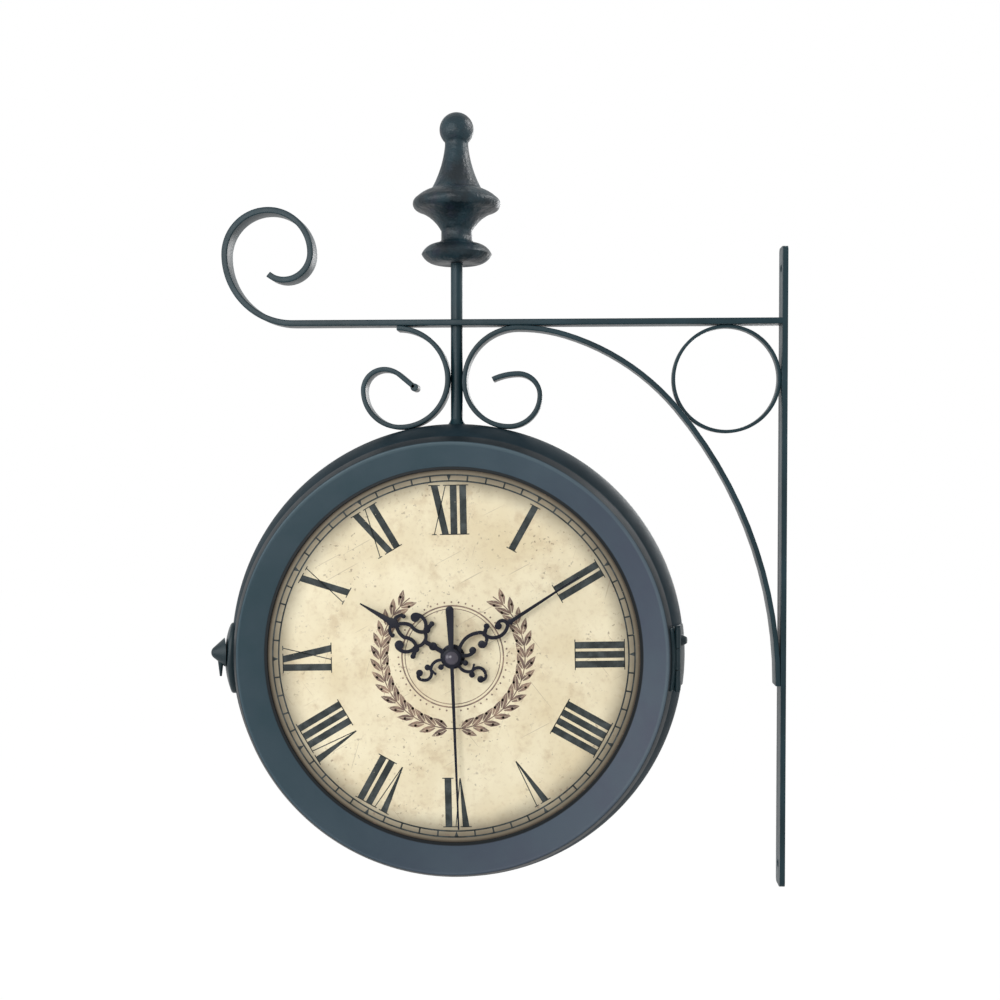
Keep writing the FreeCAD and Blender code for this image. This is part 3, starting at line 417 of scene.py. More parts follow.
# Finial: turned pattern cast in metal and slipped over the rod's end, with the sand's lumpy skin.
# It is painted darker and duller than the bar work.
FINIAL_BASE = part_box("finial")[0].z / MM
CAST_DARK = colour(5, 19, 26)
CAST_LIGHT = colour(19, 45, 54)
CAST_TINT = colour(30, 37, 52)
cast_paint, shader, spot = new_finish("cast_paint")
cloudy = spot.noise(60.0, 4.0).between(0.35, 0.7).blend(CAST_DARK, CAST_LIGHT)
(spot.noise(110.0, 3.0).between(0.5, 0.75) * 0.7).blend(cloudy, CAST_TINT).feed(shader, "Base Color")
(0.3 + 0.3 * spot.noise(120.0, 4.0)).feed(shader, "Roughness")
shader.inputs["Specular IOR Level"].default_value = 0.35
bumped(shader, spot, 2.2 * spot.noise(140.0, 3.0) + 0.8 * spot.noise(420.0, 3.0), 0.5)
BORE_CLEARANCE = 0.05
FOOT_R = 11.0
FOOT_BULGE = (19.78, 1.74)
LOWER_DISC = (23.5, 6.2)
LOWER_BULGE = (19.5, 11.1)
LOWER_TOP = (12.36, 13.2)
WAIST = (10.3, 15.6)
WAIST_TOP = (10.3, 21.6)
BELL_HOLLOW = (14.64, 27.73)
UPPER_UNDER = (25.78, 35.22)
UPPER_DISC = (29.3, 40.0)
UPPER_OVER = (26.96, 43.68)
UPPER_BULGE = (21.98, 47.27)
CONE_FOOT = (17.0, 49.2)
CONE_HOLLOW = (11.11, 62.63)
NECK = (7.8, 78.4)
BALL_FOOT = (7.8, 80.7)
BALL_R = 11.4
FINIAL_STEPS = 96
ball_z = BALL_FOOT[1] + math.sqrt(BALL_R ** 2 - BALL_FOOT[0] ** 2)
profile = [(ROD_R + BORE_CLEARANCE, 0), (FOOT_R, 0)] + arc((FOOT_R, 0), FOOT_BULGE, LOWER_DISC)
profile += arc(LOWER_DISC, LOWER_BULGE, LOWER_TOP) + [WAIST, WAIST_TOP]
profile += arc(WAIST_TOP, BELL_HOLLOW, UPPER_UNDER, 16) + arc(UPPER_UNDER, UPPER_DISC, UPPER_OVER)
profile += arc(UPPER_OVER, UPPER_BULGE, CONE_FOOT) + arc(CONE_FOOT, CONE_HOLLOW, NECK, 16)
profile += [BALL_FOOT] + arc(BALL_FOOT, (BALL_R, ball_z), (0, ball_z + BALL_R), 24)
bm = lathed(profile, Vector((CLOCK_X, 0, FINIAL_BASE)), UP, FINIAL_STEPS)
piece("finial_casting", bm, cast_paint, CASE_BODY, "cast_finial", "finial", crease=50.0)

# Case drum: sheet metal spun into a barrel with a short straight neck at each end.
# The rod passes its top, and both bezels close on the necks.
CLOCK = Vector((CLOCK_X, 0, CLOCK_Z))
FRONT = Vector((0, -1, 0))
SHEET = 1.2
NECK_R = 142.6
NECK_START = 31.5
DRUM_HALF = 37.3
ROUND_STEPS = 240
BARREL_STEPS = 36
inner_start = NECK_START - SHEET / 2
neck_bore = NECK_R - SHEET
profile = [(NECK_R, -DRUM_HALF), (NECK_R, -NECK_START)]
profile += arc((NECK_R, -NECK_START), (DRUM_R, 0), (NECK_R, NECK_START), BARREL_STEPS)
profile += [(NECK_R, DRUM_HALF), (neck_bore, DRUM_HALF), (neck_bore, inner_start)]
profile += arc((neck_bore, inner_start), (DRUM_R - SHEET, 0), (neck_bore, -inner_start), BARREL_STEPS)
profile += [(neck_bore, -DRUM_HALF)]
drum_paint = finish("drum_satin", colour(24, 38, 45), colour(33, 48, 56), rough=0.55, sheen=0.06)
bm = lathed(profile, CLOCK, FRONT, ROUND_STEPS, closed=True)
eased(piece("drum_shell", bm, drum_paint, CASE_BODY, PAINT, "case_drum"), 0.35)

# Bezels: sheet pressed into a dished ring with a rolled edge and a flared side.
# The front one swings on the hinge, the rear one is held by three screws; tabs keep the dial in.
SEAM = 37.6
BEZEL_FRONT = 46.0
BEZEL_EDGE_R = 138.5
BEZEL_ROLL = 1.1
ROLL_SHARE = 0.3
BEZEL_FOOT = 0.8
SKIRT_R = 140.4
SKIRT_DEPTH = 8.6
OPENING_R = 121.2
OPENING_LIP = 1.8
DIAL_FACE = 34.0
DIAL_BACK = 32.8
DIAL_R = 126.0
TAB_SIZE = (8.0, 4.5)
TAB_CLEARANCE = 0.2
TAB_COUNT = 6


def half_turned(bm):
    """Turns a front piece about the upright through the clock's centre, for the rear."""
    bmesh.ops.rotate(bm, cent=CLOCK, matrix=Matrix.Rotation(math.pi, 3, "Z"), verts=bm.verts)


def box_between(bm, low, high):
    """Adds a block between two corners and returns its vertices."""
    low, high = Vector(low), Vector(high)
    verts = bmesh.ops.create_cube(bm, size=1.0)["verts"]
    bmesh.ops.scale(bm, vec=high - low, verts=verts)
    bmesh.ops.translate(bm, vec=(low + high) / 2, verts=verts)
    return verts


def bezel_ring():
    """Ring of the front bezel with its skirt and tabs."""
    dish_r = OPENING_R + OPENING_LIP
    lip = DIAL_FACE + SHEET
    bore_r = SKIRT_R - SHEET
    edge_back = BEZEL_FRONT - BEZEL_ROLL
    crest = (BEZEL_EDGE_R - BEZEL_ROLL, BEZEL_FRONT - ROLL_SHARE * BEZEL_ROLL)
    shoulder = (BEZEL_EDGE_R + BEZEL_ROLL, edge_back + ROLL_SHARE * BEZEL_ROLL)
    profile = [(OPENING_R, DIAL_FACE), (OPENING_R, lip), (dish_r, lip), crest]
    profile += arc(crest, (BEZEL_EDGE_R, BEZEL_FRONT), shoulder, 8)
    profile += [(NECK_R, SEAM + BEZEL_FOOT), (NECK_R, SEAM), (SKIRT_R, SEAM), (SKIRT_R, SEAM - SKIRT_DEPTH),
                (bore_r, SEAM - SKIRT_DEPTH), (bore_r, edge_back - 2 * SHEET),
                (BEZEL_EDGE_R - SHEET / 2, edge_back - SHEET / 2), (dish_r + SHEET / 2, DIAL_FACE)]
    bm = lathed(profile, CLOCK, FRONT, ROUND_STEPS, closed=True)
    riser = DIAL_R + TAB_CLEARANCE
    half, reach = TAB_SIZE[0] / 2, TAB_SIZE[1]
    for tab in range(TAB_COUNT):
        foot = box_between(bm, (DIAL_R - reach, -DIAL_BACK, -half), (riser + SHEET, SHEET - DIAL_BACK, half))
        wall = box_between(bm, (riser, -DIAL_FACE - SHEET, -half), (riser + SHEET, -DIAL_BACK, half))
        place = math.radians(360 / TAB_COUNT * (tab + 0.5))
        bmesh.ops.rotate(bm, matrix=Matrix.Rotation(place, 3, "Y"), verts=foot + wall)
        bmesh.ops.translate(bm, vec=CLOCK, verts=foot + wall)
    return bm


def across_axis(spot):
    """Vector from the clock's axis to a place, in metres."""
    moved = spot.mapped(location=(-CLOCK_X * MM, 0, -CLOCK_Z * MM))
    return moved.node("ShaderNodeVectorMath", {"operation": "MULTIPLY"}, {0: moved, 1: (1, 0, 1)})


def from_axis(spot):
    """Distance of a place from the clock's axis, in metres."""
    flat = across_axis(spot)
    return flat.node("ShaderNodeVectorMath", {"operation": "LENGTH"}, {0: flat}, 1)


# Painted reflection: the ring's colours are a much lighter copy of the graphite paint, standing in for the
# sheen the ring catches from the lamps.
BEZEL_TEAL_PAINTED_LIT = colour(53, 73, 82)
BEZEL_VIOLET_PAINTED_LIT = colour(64, 71, 85)
BEZEL_PALE_PAINTED_LIT = colour(68, 83, 93)
BEZEL_SIDE_PAINTED_SHADE = colour(14, 25, 31)
ROLL_PAINTED_HIGHLIGHT = colour(84, 101, 108)
LIP_PAINTED_SHADE = colour(12, 18, 21)
PAINTED_HIGHLIGHT_SIDE = (0.6, 0.0, 0.8)
PAINTED_HIGHLIGHT_REACH = (-0.06, 0.05)
PAINTED_HIGHLIGHT_BAND = (0.1364, 0.1374)
PAINTED_SHADE_SIDE_BAND = (0.1385, 0.1396)
LIP_BAND = (0.1228, 0.1236)
PAINTED_REFLECTION_SIDE = (0.9, 0.0, -0.4)
PAINTED_REFLECTION_REACH = (-0.1, 0.12)
BEZEL_EASE = 0.3
BEZEL_CREASE = 22.0


def towards(spot, way):
    """How far a place lies from the clock's axis along a direction, in metres."""
    flat = across_axis(spot)
    return flat.node("ShaderNodeVectorMath", {"operation": "DOT_PRODUCT"}, {0: flat, 1: way}, 1)


bezel_paint, shader, spot = new_finish("bezel_satin")
reach = from_axis(spot)
# Painted reflection: the ring turns violet towards the lower right, the side that catches the light.
painted_reflection_tint = towards(spot, PAINTED_REFLECTION_SIDE).between(*PAINTED_REFLECTION_REACH).blend(BEZEL_TEAL_PAINTED_LIT, BEZEL_VIOLET_PAINTED_LIT)
sprayed_painted_lit = (0.5 * spot.noise(28.0).between(*CLOUD_BAND)).blend(painted_reflection_tint, BEZEL_PALE_PAINTED_LIT)
# Painted shade: the flared side outside the roll is painted much darker.
outer = reach.between(*PAINTED_SHADE_SIDE_BAND)
# Painted highlight: the rolled edge is lighter in patches on its upper right half.
painted_roll_highlight = reach.between(*PAINTED_HIGHLIGHT_BAND) * (1.0 - outer) * towards(spot, PAINTED_HIGHLIGHT_SIDE).between(*PAINTED_HIGHLIGHT_REACH)
painted_roll_highlight = painted_roll_highlight * (0.2 + 0.5 * spot.noise(60.0))
painted_edge_shading = painted_roll_highlight.blend(outer.blend(sprayed_painted_lit, BEZEL_SIDE_PAINTED_SHADE), ROLL_PAINTED_HIGHLIGHT)
# Painted shade: the lip round the opening is painted near black, for its shadowed inner edge.
reach.between(*LIP_BAND).blend(LIP_PAINTED_SHADE, painted_edge_shading).feed(shader, "Base Color")
(0.38 + GLOSS_SPREAD * spot.noise(GLOSS_SCALE)).feed(shader, "Roughness")
shader.inputs["Specular IOR Level"].default_value = 0.2
bumped(shader, spot, 0.1 * spot.noise(GRAIN_SCALE, 2.0))
made = piece("front_bezel_ring", bezel_ring(), bezel_paint, "front_lid", PAINT, "front_bezel",
             crease=BEZEL_CREASE)
eased(made, BEZEL_EASE)
bm = bezel_ring()
half_turned(bm)
made = piece("rear_bezel_ring", bm, bezel_paint, CASE_BODY, PAINT, "rear_bezel", crease=BEZEL_CREASE)
eased(made, BEZEL_EASE)
dressed("rear_bezel_screws", bare_steel, ease=0.25)

# Hinge: two leaves bent to drum and bezel, with rolled knuckles on a headed pin on the wall side.
# One large rivet holds the case leaf; hinge and catch are painted a little darker than the drum.
hardware_paint = finish("hardware_satin", colour(13, 31, 37), colour(23, 43, 49), rough=0.42, sheen=0.28)
dressed("hinge_case_leaf", hardware_paint, ease=0.3)
dressed("hinge_lid_leaf", hardware_paint, ease=0.3)
dressed("hinge_pin", hardware_paint, ease=0.3)

# Catch: domed oval rose on the drum, a blunt turned knob with a tapered tail, and inside a cam
# that hooks a keeper strip welded into the lid's skirt.
dressed("catch_rose", hardware_paint, ease=0.3)
dressed("catch_knob", hardware_paint, ease=0.35)
dressed("catch_cam", bare_steel, ease=0.25)
dressed("lid_keeper", graphite, ease=0.25)

# Dials: round tin plates with a printed, aged cream face that browns towards the rim.
# Stains, specks and fine scratches are part of the print; the back is plain grey primer.
CREAM_LIGHT = colour(235, 225, 195)
CREAM_DARK = colour(221, 208, 176)
CLOUD = colour(214, 197, 159)
STAIN = colour(190, 167, 134)
RIM_BROWN = colour(112, 103, 87)
DIAL_RIM_PAINTED_SHADOW = colour(70, 62, 52)
SPECK = colour(122, 102, 88)
PRIMER_DARK = colour(128, 131, 130)
PRIMER_LIGHT = colour(146, 148, 146)
BROWN_BAND = (0.1, 0.121)
PAINTED_SHADOW_BAND = (0.1192, 0.1212)
BACK_BAND = (0.0335, 0.0338)
SCRATCHES = ((0.5, 3.0), (-0.9, 7.0), (1.3, 11.0))
SCRATCH_STRETCH = (18.0, 1.0, 700.0)


def aged_cream(spot):
    """Colour of the dial's face at a place, with a painted shadow at the opening's edge."""
    reach = from_axis(spot)
    face = spot.noise(24.0, 5.0).between(0.3, 0.72).blend(CREAM_LIGHT, CREAM_DARK)
    clouded = (spot.noise(13.0, 5.0).between(0.48, 0.7) * 0.5).blend(face, CLOUD)
    stained = (spot.noise(75.0, 6.0, 0.65).between(0.5, 0.76) * 0.55).blend(clouded, STAIN)
    grained = (spot.noise(330.0, 4.0).between(0.5, 0.8) * 0.3).blend(stained, STAIN)
    uneven = reach + 0.008 * (spot.noise(40.0, 4.0) - 0.5)
    browned = uneven.between(*BROWN_BAND).blend(grained, RIM_BROWN)
    # Painted shadow: a thin dark ring just inside the bezel's opening, where the lip shades the dial.
    painted_edge_shading = reach.between(*PAINTED_SHADOW_BAND).blend(browned, DIAL_RIM_PAINTED_SHADOW)
    foxed = spot.noise(30.0, 3.0).between(0.4, 0.62)
    scratched = foxed * spot.noise(420.0, 2.0).between(0.62, 0.71) * 0.6
    for turn, shift in SCRATCHES:
        lines = spot.mapped(turn=(0, turn, 0)).mapped(location=(shift, 0, 0), scale=SCRATCH_STRETCH)
        scratched = scratched.larger(lines.noise(1.0, 1.0).between(0.73, 0.76) * 0.35)
    return scratched.blend(painted_edge_shading, SPECK)


dial_paper, shader, spot = new_finish("aged_dial_print")
depth = spot.node("ShaderNodeVectorMath", {"operation": "MULTIPLY"}, {0: spot, 1: (0, 1, 0)})
depth = depth.node("ShaderNodeVectorMath", {"operation": "LENGTH"}, {0: depth}, 1)
primer = spot.noise(60.0, 4.0).between(0.35, 0.65).blend(PRIMER_DARK, PRIMER_LIGHT)
depth.between(*BACK_BAND).blend(primer, aged_cream(spot)).feed(shader, "Base Color")
(0.55 + 0.2 * spot.noise(90.0)).feed(shader, "Roughness")
shader.inputs["Specular IOR Level"].default_value = 0.25
bumped(shader, spot, 0.1 * spot.noise(900.0, 2.0), 0.15)
for side in ("front", "rear"):
    dial = frame["nodes"][side + "_dial"]
    dial.data.materials.clear()
    dial.data.materials.append(dial_paper)

# Dial print: Roman numerals standing on the centre, and a minute track of two fine rings.
# It is a thin layer of worn dark ink; chips let the cream show through.
INK = colour(37, 43, 43)
INK_THICKNESS = 0.06
NUMERALS = ("XII", "I", "II", "III", "IIII", "V", "VI", "VII", "VIII", "IX", "X", "XI")
NUMERAL_FEET_R = 79.3
NUMERAL_HEAD_R = 111.1
STEM = 4.4
HAIRLINE = 0.6
SERIF_REACH = 1.5
ADVANCE = {"I": 6.2, "V": 9.6, "X": 11.6}
V_HALF = 3.3
V_FOOT = 0.1
X_THICK_HALF = 3.4
X_THIN_HALF = 3.9
TRACK_RINGS = (113.9, 117.8)
TRACK_LINE = 1.0
TICK = 1.05
HOUR_MARK = 2.9
MINUTES = 60
PRINT_STEPS = 180
FADED_INK = colour(70, 76, 76)
NUMERAL_WEAR = 0.69
CHIP_EDGE = 0.05
DIAL_TURN = {"front": -1.2, "rear": 0.5}


def printed(bm, corners, angle):
    """Flat shape from (across, outwards) corners, turned to its place on the dial."""
    verts = [bm.verts.new((x, 0, z)) for x, z in corners]
    bm.faces.new(verts)
    bmesh.ops.rotate(bm, matrix=Matrix.Rotation(angle, 3, "Y"), verts=verts)


def stroke(bm, angle, low_x, low_half, high_x, high_half):
    """Stem of a numeral from its foot to its head."""
    printed(bm, ((low_x - low_half, NUMERAL_FEET_R), (low_x + low_half, NUMERAL_FEET_R),
                 (high_x + high_half, NUMERAL_HEAD_R), (high_x - high_half, NUMERAL_HEAD_R)), angle)


def serif(bm, angle, low_x, high_x, radius):
    """Fine cross line at a numeral's foot or head."""
    low, high = radius - HAIRLINE / 2, radius + HAIRLINE / 2
    printed(bm, ((low_x, low), (high_x, low), (high_x, high), (low_x, high)), angle)


def print_ring(bm, radius, width):
    """Flat ring about the dial's centre."""
    ends = [bm.verts.new((radius + step * width / 2, 0, 0)) for step in (-1, 1)]
    edge = bm.edges.new(ends)
    bmesh.ops.spin(bm, geom=ends + [edge], cent=Vector(), axis=ACROSS, angle=2 * math.pi,
                   steps=PRINT_STEPS, use_merge=True)


def numeral(bm, letters, angle):
    """Roman numeral that stands on the dial's centre."""
    x = -sum(ADVANCE[letter] for letter in letters) / 2
    hair = HAIRLINE / 2
    stem = STEM / 2
    for letter in letters:
        x += ADVANCE[letter] / 2
        wide = stem + SERIF_REACH
        if letter == "I":
            stroke(bm, angle, x, stem, x, stem)
            for radius in (NUMERAL_FEET_R, NUMERAL_HEAD_R):
                serif(bm, angle, x - wide, x + wide, radius)
        elif letter == "V":
            stroke(bm, angle, x - V_FOOT, hair, x - V_HALF, stem)
            stroke(bm, angle, x + V_FOOT, hair, x + V_HALF, hair)
            serif(bm, angle, x - V_HALF - wide, x - V_HALF + wide, NUMERAL_HEAD_R)
            serif(bm, angle, x + V_HALF - SERIF_REACH, x + V_HALF + SERIF_REACH, NUMERAL_HEAD_R)
        else:
            stroke(bm, angle, x + X_THICK_HALF, stem, x - X_THICK_HALF, stem)
            stroke(bm, angle, x - X_THIN_HALF, hair, x + X_THIN_HALF, hair)
            for way, radius in ((1, NUMERAL_FEET_R), (-1, NUMERAL_HEAD_R)):
                thick, thin = x + way * X_THICK_HALF, x - way * X_THIN_HALF
                serif(bm, angle, thick - wide, thick + wide, radius)
                serif(bm, angle, thin - SERIF_REACH, thin + SERIF_REACH, radius)
        x += ADVANCE[letter] / 2


def print_plate(name, draw, material):
    """Draws a print about the origin, thickens it and lays it on both dials."""
    for side in ("front", "rear"):
        bm = bmesh.new()
        draw(bm)
        bmesh.ops.recalc_face_normals(bm, faces=bm.faces)
        layer = bmesh.ops.extrude_face_region(bm, geom=bm.faces[:])
        bmesh.ops.translate(bm, vec=FRONT * INK_THICKNESS, verts=only(layer["geom"], bmesh.types.BMVert))
        bmesh.ops.rotate(bm, matrix=Matrix.Rotation(math.radians(DIAL_TURN[side]), 3, "Y"), verts=bm.verts)
        bmesh.ops.translate(bm, vec=CLOCK + FRONT * DIAL_FACE, verts=bm.verts)
        if side == "rear":
            half_turned(bm)
        piece(side + "_" + name, bm, material, BODY_OF[side + "_dial"], "dial_print")


def draw_chapter(bm):
    """Numerals and minute track."""
    for hour, letters in enumerate(NUMERALS):
        numeral(bm, letters, 2 * math.pi * hour / len(NUMERALS))
    for radius in TRACK_RINGS:
        print_ring(bm, radius, TRACK_LINE)
    inner, outer = TRACK_RINGS
    for minute in range(MINUTES):
        angle = 2 * math.pi * minute / MINUTES
        half = TICK / 2
        if minute % 5:
            printed(bm, ((-half, inner), (half, inner), (half, outer), (-half, outer)), angle)
        else:
            printed(bm, ((0, inner), (HOUR_MARK / 2, outer), (-HOUR_MARK / 2, outer)), angle)


def worn_ink(name, ink, faded, wear):
    """Printing ink, cloudy and chipped; a lower wear chips more."""
    material, shader, spot = new_finish(name)
    inked = spot.noise(140.0, 4.0).between(0.35, 0.75).blend(ink, faded)
    chips = spot.noise(330.0, 5.0, 0.7).between(wear, wear + CHIP_EDGE)
    chips.blend(inked, CREAM_DARK).feed(shader, "Base Color")
    (0.5 + 0.2 * spot.noise(200.0)).feed(shader, "Roughness")
    shader.inputs["Specular IOR Level"].default_value = 0.25
    return material


print_plate("chapter_print", draw_chapter, worn_ink("numeral_ink", INK, FADED_INK, NUMERAL_WEAR))

# Sepia ornament: two sprays of laurel leaves that rise from below the centre, within two fine rings.
# It is printed in brown on both dials, as thin and as worn as the numerals.
WREATH_R = 47.0
WREATH_GAP = 32.0
LEAF_PAIRS = 15
LEAF_LENGTH = 10.5
LEAF_HALF = 1.9
LEAF_LEAN = 30.0
LEAF_OUTLINE = ((0.0, 0.25), (0.18, 0.65), (0.42, 1.0), (0.7, 0.72), (1.0, 0.0))
LEAF_STAND = 0.7
RIB_HALF = 0.18
RIB_TIP_HALF = 0.05
SPRAY_START = 6.0
SPRAY_ROOM = 10.0
STEM_LINE = 0.7
STEM_LEAD = 3.0
STEM_STEPS = 60
BERRY_R = 0.9
BERRY_STAND = 4.2
BERRY_SHARE = 0.55
SEPIA_RINGS = ((31.0, 0.5), (33.0, 0.9))
SEPIA_DOTS = 48
DOT_R = 0.6
DOT_GAP = 2.4
SEPIA = colour(104, 87, 80)
SEPIA_FADED = colour(160, 135, 116)
SEPIA_WEAR = 0.62


def leaf(bm, angle, side, way):
    """Pointed leaf beside the stem, split along its rib."""
    lean = math.radians(LEAF_LEAN) * side
    for flank in (-1, 1):
        corners = [(LEAF_LENGTH * share, flank * (RIB_HALF + LEAF_HALF * swell))
                   for share, swell in LEAF_OUTLINE]
        rib = [(LEAF_LENGTH, flank * RIB_TIP_HALF), (0.0, flank * RIB_HALF)]
        verts = [bm.verts.new((x, 0, z)) for x, z in corners + rib]
        bm.faces.new(verts)
        turn = Matrix.Rotation(-lean if way > 0 else math.pi + lean, 3, "Y")
        bmesh.ops.rotate(bm, matrix=turn, verts=verts)
        bmesh.ops.translate(bm, vec=(0, 0, WREATH_R + LEAF_STAND * side), verts=verts)
        bmesh.ops.rotate(bm, matrix=Matrix.Rotation(angle, 3, "Y"), verts=verts)


def berry(bm, angle, radius, size):
    """Round dot at a place on the dial."""
    dot = bmesh.ops.create_circle(bm, cap_ends=True, segments=12, radius=size)["verts"]
    bmesh.ops.rotate(bm, matrix=Matrix.Rotation(math.pi / 2, 3, "X"), verts=dot)
    bmesh.ops.translate(bm, vec=(0, 0, radius), verts=dot)
    bmesh.ops.rotate(bm, matrix=Matrix.Rotation(angle, 3, "Y"), verts=dot)


def draw_wreath(bm):
    """Two sprays of leaves and berries, with rings and dots inside them."""
    spread = 180.0 - WREATH_GAP
    step = (spread - SPRAY_ROOM) / LEAF_PAIRS
    for way in (-1, 1):
        for pair in range(LEAF_PAIRS):
            angle = math.radians(180 - way * (SPRAY_START + pair * step))
            for side in (-1, 1):
                leaf(bm, angle, side, -way)
                beside = angle - way * math.radians(BERRY_SHARE * step)
                berry(bm, beside, WREATH_R + side * BERRY_STAND, BERRY_R)
        stem = [bm.verts.new((0, 0, WREATH_R + part * STEM_LINE / 2)) for part in (-1, 1)]
        edge = bm.edges.new(stem)
        lead = Matrix.Rotation(math.radians(180 + way * STEM_LEAD), 3, "Y")
        bmesh.ops.rotate(bm, matrix=lead, verts=stem)
        bmesh.ops.spin(bm, geom=stem + [edge], cent=Vector(), axis=ACROSS,
                       angle=math.radians(-way * spread), steps=STEM_STEPS)
    for radius, width in SEPIA_RINGS:
        print_ring(bm, radius, width)
    for dot in range(SEPIA_DOTS):
        berry(bm, 2 * math.pi * dot / SEPIA_DOTS, SEPIA_RINGS[1][0] + DOT_GAP, DOT_R)


print_plate("wreath_print", draw_wreath, worn_ink("sepia_ink", SEPIA, SEPIA_FADED, SEPIA_WEAR))

# Hands: pierced from thin steel and lacquered blue-black, each pressed on its arbor.
# The second hand carries a small polished cap over the hub.
LACQUER_DARK = colour(8, 11, 24)
LACQUER_LIGHT = colour(16, 19, 34)
CAP_GREY = colour(62, 58, 70)
CAP_EDGE = (0.0041, 0.0044)
HAND_EASE = 0.14
lacquer = finish("hand_lacquer", LACQUER_DARK, LACQUER_LIGHT, rough=0.36, cloud=60.0, grain=0.05, sheen=0.2)
capped, shader, spot = new_finish("capped_lacquer")
rim = from_axis(spot).between(*CAP_EDGE)
rim.blend(CAP_GREY, spot.noise(60.0).blend(LACQUER_DARK, LACQUER_LIGHT)).feed(shader, "Base Color")
(0.16 + 0.2 * rim + 0.1 * spot.noise(160.0)).feed(shader, "Roughness")
(0.6 - 0.6 * rim).feed(shader, "Coat Weight")
shader.inputs["Specular IOR Level"].default_value = 0.2
HAND_FINISHES = {"hour_hand": lacquer, "minute_hand": lacquer, "second_hand": capped}
for side in ("front", "rear"):
    for hand, material in HAND_FINISHES.items():
        dressed(side + "_" + hand, material, ease=HAND_EASE)

# Movements: one quartz movement behind each dial, with a moulded case, its nut in front,
# the motion work, a drive coil, the setting knob and a bare AA cell.
moulding = finish("black_moulding", colour(18, 18, 19), colour(30, 30, 31), rough=0.5, cloud=60.0, grain=0.5)
nylon = finish("white_nylon", colour(212, 211, 204), colour(226, 225, 219), rough=0.45, cloud=90.0, grain=0.2)
rubber = finish("washer_rubber", colour(20, 20, 20), colour(34, 33, 32), rough=0.75, cloud=120.0, grain=0.6)
brass = finish("turned_brass", colour(196, 158, 82), colour(220, 184, 108), rough=0.3, cloud=90.0,
               metallic=1.0)
jacket = finish("cell_jacket", colour(44, 46, 52), colour(62, 64, 70), rough=0.3, cloud=50.0, coat=0.3)
copper, shader, spot = new_finish("copper_winding")
turns = spot.node("ShaderNodeTexWave", {"bands_direction": "X"},
                  {"Vector": spot, "Scale": 900.0, "Distortion": 0.6})
turns.blend(colour(122, 62, 30), colour(190, 112, 62)).feed(shader, "Base Color")
(0.3 + 0.15 * spot.noise(300.0)).feed(shader, "Roughness")
shader.inputs["Metallic"].default_value = 0.8
bumped(shader, spot, 0.4 * turns)
MOVEMENT_FINISHES = {
    "movement_case": (moulding, 0.5), "movement_cover": (moulding, 0.4), "movement_washer": (rubber, 0.2),
    "shaft_nut": (lacquer, 0.25), "hour_wheel": (nylon, 0.1), "minute_arbor": (brass, 0.1),
    "second_arbor": (bare_steel, 0.1), "motion_wheel": (nylon, 0.1), "set_knob": (moulding, 0.2),
    "cell": (jacket, 0.4), "contacts": (bare_steel, 0.1), "drive_coil": (copper, 0.2)}
for side in ("front", "rear"):
    for part, (material, ease) in MOVEMENT_FINISHES.items():
        dressed(side + "_" + part, material, ease)

# Studio: pale floor well below the clock, white surroundings, two large lamps in front on the left,
# a smaller one above the wall side that draws the edges, and one behind for the second dial.
FLOOR_Z = -0.62
FLOOR_HALF = 6.0
bm = bmesh.new()
bmesh.ops.create_grid(bm, x_segments=1, y_segments=1, size=FLOOR_HALF)
bmesh.ops.translate(bm, vec=(0, 0, FLOOR_Z), verts=bm.verts)
floor_mesh = bpy.data.meshes.new("studio_floor")
bm.to_mesh(floor_mesh)
bm.free()
floor = bpy.data.objects.new("studio_floor", floor_mesh)
bpy.context.scene.collection.objects.link(floor)
WHITE = (1.0, 1.0, 1.0, 1.0)


def seen_directly(tree):
    """1 for what the camera, a reflection or glass sees, 0 for light on the object."""
    path = tree.nodes.new("ShaderNodeLightPath").outputs
    camera = Tone(tree, path["Is Camera Ray"])
    return camera.larger(Tone(tree, path["Is Glossy Ray"])).larger(Tone(tree, path["Is Transmission Ray"]))


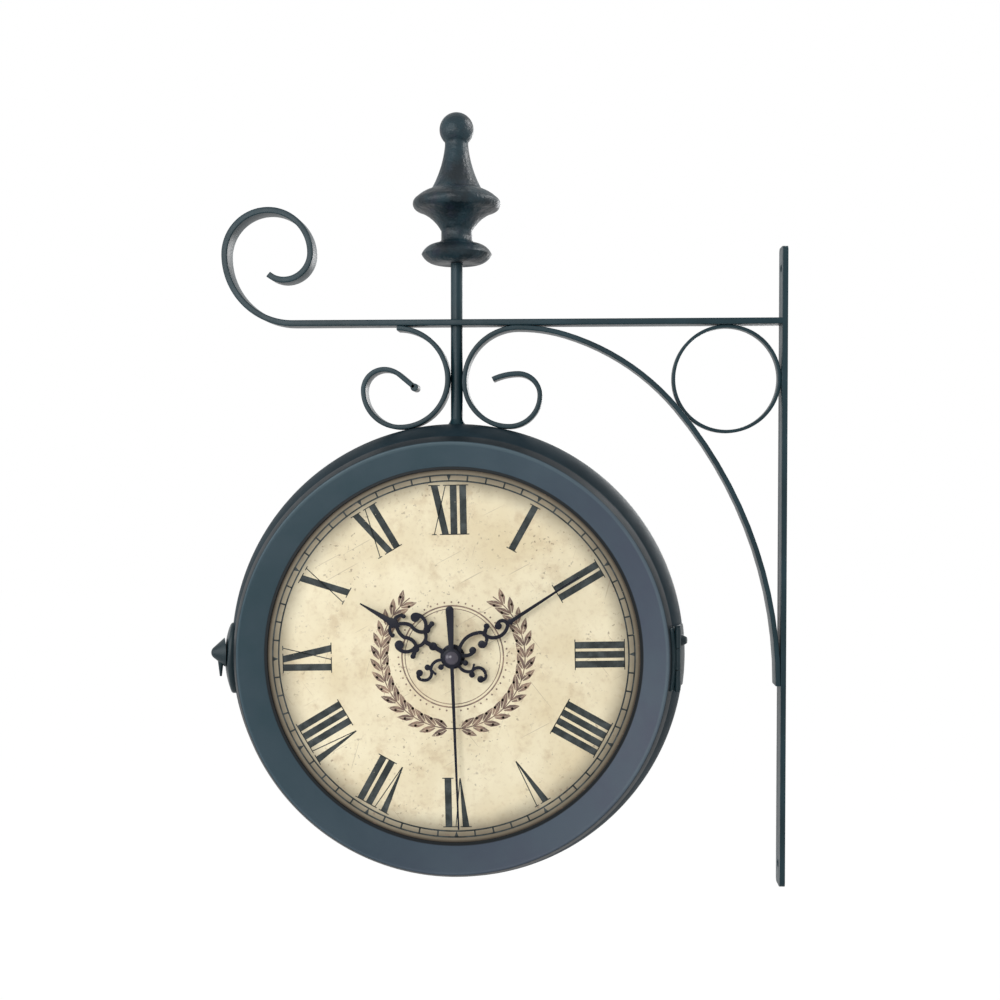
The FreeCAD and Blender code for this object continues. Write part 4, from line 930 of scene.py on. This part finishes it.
FLOOR_GLOW = 0.97
FLOOR_LEVEL = 1.02
FLOOR_PAINT = (0.9, 0.9, 0.9, 1.0)
FLOOR_ROUGH = 0.9
floor_paint, shader, spot = new_finish("pale_floor")
shader.inputs["Base Color"].default_value = FLOOR_PAINT
shader.inputs["Roughness"].default_value = FLOOR_ROUGH
glow = spot.node("ShaderNodeEmission", {}, {"Color": WHITE, "Strength": FLOOR_LEVEL})
mixed = spot.node("ShaderNodeMixShader", {}, {0: FLOOR_GLOW * seen_directly(spot.tree), 2: glow})
spot.tree.links.new(shader.outputs[0], mixed.socket.node.inputs[1])
spot.tree.links.new(mixed.socket, spot.tree.nodes["Material Output"].inputs["Surface"])
floor_mesh.materials.append(floor_paint)

SURROUND_LIGHT = 0.38
world = bpy.data.worlds.new("studio_surround")
bpy.context.scene.world = world
world.use_nodes = True
surround = world.node_tree.nodes["Background"]
surround.inputs["Color"].default_value = WHITE
(SURROUND_LIGHT + (1 - SURROUND_LIGHT) * seen_directly(world.node_tree)).feed(surround, "Strength")

CLOCK_PLACE = CLOCK * MM


def soft_lamp(name, place, size, power):
    """Round area lamp that faces the clock; size in metres, power in watts."""
    light = bpy.data.lights.new(name, "AREA")
    light.shape = "DISK"
    light.size = size
    light.energy = power
    lamp = bpy.data.objects.new(name, light)
    lamp.location = place
    lamp.rotation_euler = (CLOCK_PLACE - Vector(place)).to_track_quat("-Z", "Y").to_euler()
    bpy.context.scene.collection.objects.link(lamp)


soft_lamp("key_lamp", (-0.7, -1.4, 0.4), 0.8, 11.0)
soft_lamp("left_lamp", (-1.4, -0.7, 0.2), 1.0, 7.0)
soft_lamp("rim_lamp", (0.7, 0.2, 0.75), 0.5, 9.0)
soft_lamp("back_lamp", (0.5, 1.5, 0.3), 0.8, 8.0)

# Camera: stands in front at about the height of the drum's top, to the right of the clock,
# turned slightly left and down, with the whole bracket in a square frame.
CAMERA_PLACE = (-0.1445, -0.873, 0.0672)
CAMERA_YAW = math.radians(2.95)
CAMERA_PITCH = math.radians(1.475)
FOCAL_LENGTH = 46.9
SENSOR_WIDTH = 36.0
lens = bpy.data.cameras.new("camera")
lens.lens = FOCAL_LENGTH
lens.sensor_width = SENSOR_WIDTH
camera = bpy.data.objects.new("camera", lens)
camera.location = CAMERA_PLACE
camera.rotation_euler = (math.pi / 2 - CAMERA_PITCH, 0, CAMERA_YAW)
bpy.context.scene.collection.objects.link(camera)
bpy.context.scene.camera = camera
bpy.context.scene.view_settings.view_transform = "Standard"
